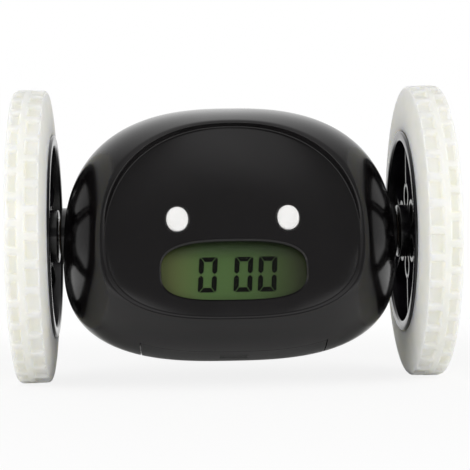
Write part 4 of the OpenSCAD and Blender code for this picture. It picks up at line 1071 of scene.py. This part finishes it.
# A pale floor that fades into a white surround
def paleFloor():
    look = {"colour": "#fbfbfa", "glow": 0.85, "mirrorGlow": 0.05, "fadeStart": 0.1, "fadeEnd": 0.3,
            "half": 3000}
    material, tree, shader = startMaterial("paleFloor", Base_Color=linear(look["colour"]), Roughness=0.9,
                                           Specular_IOR_Level=0.1)
    half = look["half"]
    corners = [(-half, -half, 0), (half, -half, 0), (half, half, 0), (-half, half, 0)]
    floor = meshPiece("floor", corners, [[0, 1, 2, 3]], material)
    away = addNode(tree, "ShaderNodeVectorMath", {0: coordinates(tree)}, operation="LENGTH").outputs["Value"]
    glow = addNode(tree, "ShaderNodeEmission", {"Color": (1, 1, 1, 1), "Strength": 1.0})
    path = addNode(tree, "ShaderNodeLightPath").outputs
    clear = reckon(tree, "MAXIMUM", path["Is Camera Ray"], path["Is Transmission Ray"])
    shares = []
    for ray, level in ((clear, "glow"), (path["Is Glossy Ray"], "mirrorGlow")):
        fade = carry(tree, away, look["fadeStart"], look["fadeEnd"], look[level], 1.0)
        shares.append(reckon(tree, "MULTIPLY", ray, fade))
    mixed = addNode(tree, "ShaderNodeMixShader", {0: reckon(tree, "MAXIMUM", *shares), 1: shader.outputs[0],
                                                  2: glow.outputs[0]})
    tree.links.new(mixed.outputs[0], tree.nodes["Material Output"].inputs["Surface"])


# Even white light, and what the gloss mirrors instead of it
def studioWorld():
    look = {"sky": 0.36, "dark": 0.24, "front": 0.83, "back": 1.1, "crown": 1.35, "side": 0.45, "lean": 0.28,
            "edgeShare": 0.12}
    world = bpy.data.worlds.new("studio")
    scene.world = world
    world.use_nodes = True
    tree = world.node_tree
    parts = addNode(tree, "ShaderNodeSeparateXYZ", {"Vector": coordinates(tree, "Generated")}).outputs
    across = reckon(tree, "ABSOLUTE", parts["X"])
    spread = reckon(tree, "MULTIPLY_ADD", across, look["lean"], parts["Z"])
    fade = carry(tree, across, 0.0, 0.95, 1.0, look["edgeShare"], "LINEAR")
    crown = carry(tree, parts["Z"], 0.3, 0.5, look["back"], look["crown"])
    # a soft box high in front, a bright back that fades to the sides, dim side panels
    lights = [(carry(tree, spread, 0.585, 0.67, 0.0, look["front"]), fade),
              (carry(tree, parts["Y"], -0.35, 0.25, 0.0, 1.0), fade, crown),
              (carry(tree, across, 0.6, 0.8, 0.0, look["side"]),)]
    level = look["dark"]
    for total, *factors in lights:
        for factor in factors:
            total = reckon(tree, "MULTIPLY", total, factor)
        level = reckon(tree, "MAXIMUM", level, total)
    path = addNode(tree, "ShaderNodeLightPath").outputs
    strength = look["sky"]
    for ray, seen in (("Is Glossy Ray", level), ("Is Camera Ray", 1.0)):
        sockets = {"Factor": path[ray], "A": strength, "B": seen}
        strength = addNode(tree, "ShaderNodeMix", sockets, data_type="FLOAT").outputs[0]
    back = tree.nodes["Background"]
    back.inputs["Color"].default_value = (1, 1, 1, 1)
    tree.links.new(strength, back.inputs["Strength"])


# A rectangle of light that stays out of the gloss
def areaLamp(name, place, width, height, radiance):
    light = bpy.data.lights.new(name, "AREA")
    light.shape = "RECTANGLE"
    light.size, light.size_y = width, height
    light.energy = radiance * pi * width * height
    lamp = newObject(name, light)
    lamp.location = place
    lamp.rotation_mode = "QUATERNION"
    lamp.rotation_quaternion = (Vector((0, 0, axleHeight * mm)) - Vector(place)).to_track_quat("-Z", "Y")
    lamp.visible_glossy = False


# A wide box overhead for the floor and crowns, and tall side lights for the inner sides of the tyres
def lamps():
    look = {"turn": 59, "away": 0.6, "high": 0.14, "size": (0.4, 0.6), "radiance": 3.45}
    areaLamp("overheadBox", (0.0, -0.05, 0.7), 0.7, 0.5, 0.6)
    a = radians(look["turn"])
    for name, side in sides.items():
        place = (side * look["away"] * sin(a), -look["away"] * cos(a), look["high"])
        areaLamp(name + "SideLight", place, *look["size"], look["radiance"])


def camera():
    shot = {"x": -19.3, "distance": 468.9, "yaw": 2.586, "pitch": -0.06, "roll": -0.94, "focal": 1527.8,
            "image": 470}
    lens = bpy.data.cameras.new("camera")
    shotCamera = newObject("camera", lens)
    lens.sensor_width = 36
    lens.lens = shot["focal"] * lens.sensor_width / shot["image"]
    lens.clip_start = 0.01
    yaw, pitch, roll = (radians(shot[k]) for k in ("yaw", "pitch", "roll"))
    ahead = Vector((sin(yaw) * cos(pitch), cos(yaw) * cos(pitch), sin(pitch)))
    right = Vector((cos(yaw), -sin(yaw), 0))
    up = right.cross(ahead)
    rolledRight = right * cos(roll) + up * sin(roll)
    rolledUp = -right * sin(roll) + up * cos(roll)
    turn = Matrix((rolledRight, rolledUp, -ahead)).transposed().to_4x4()
    turn.translation = Vector((shot["x"], -shot["distance"], axleHeight)) * mm
    shotCamera.matrix_world = turn
    scene.camera = shotCamera


paleFloor()
studioWorld()
lamps()
camera()
scene.view_settings.view_transform = "Standard"
print("stage: studio ready")

bpy.context.view_layer.update()
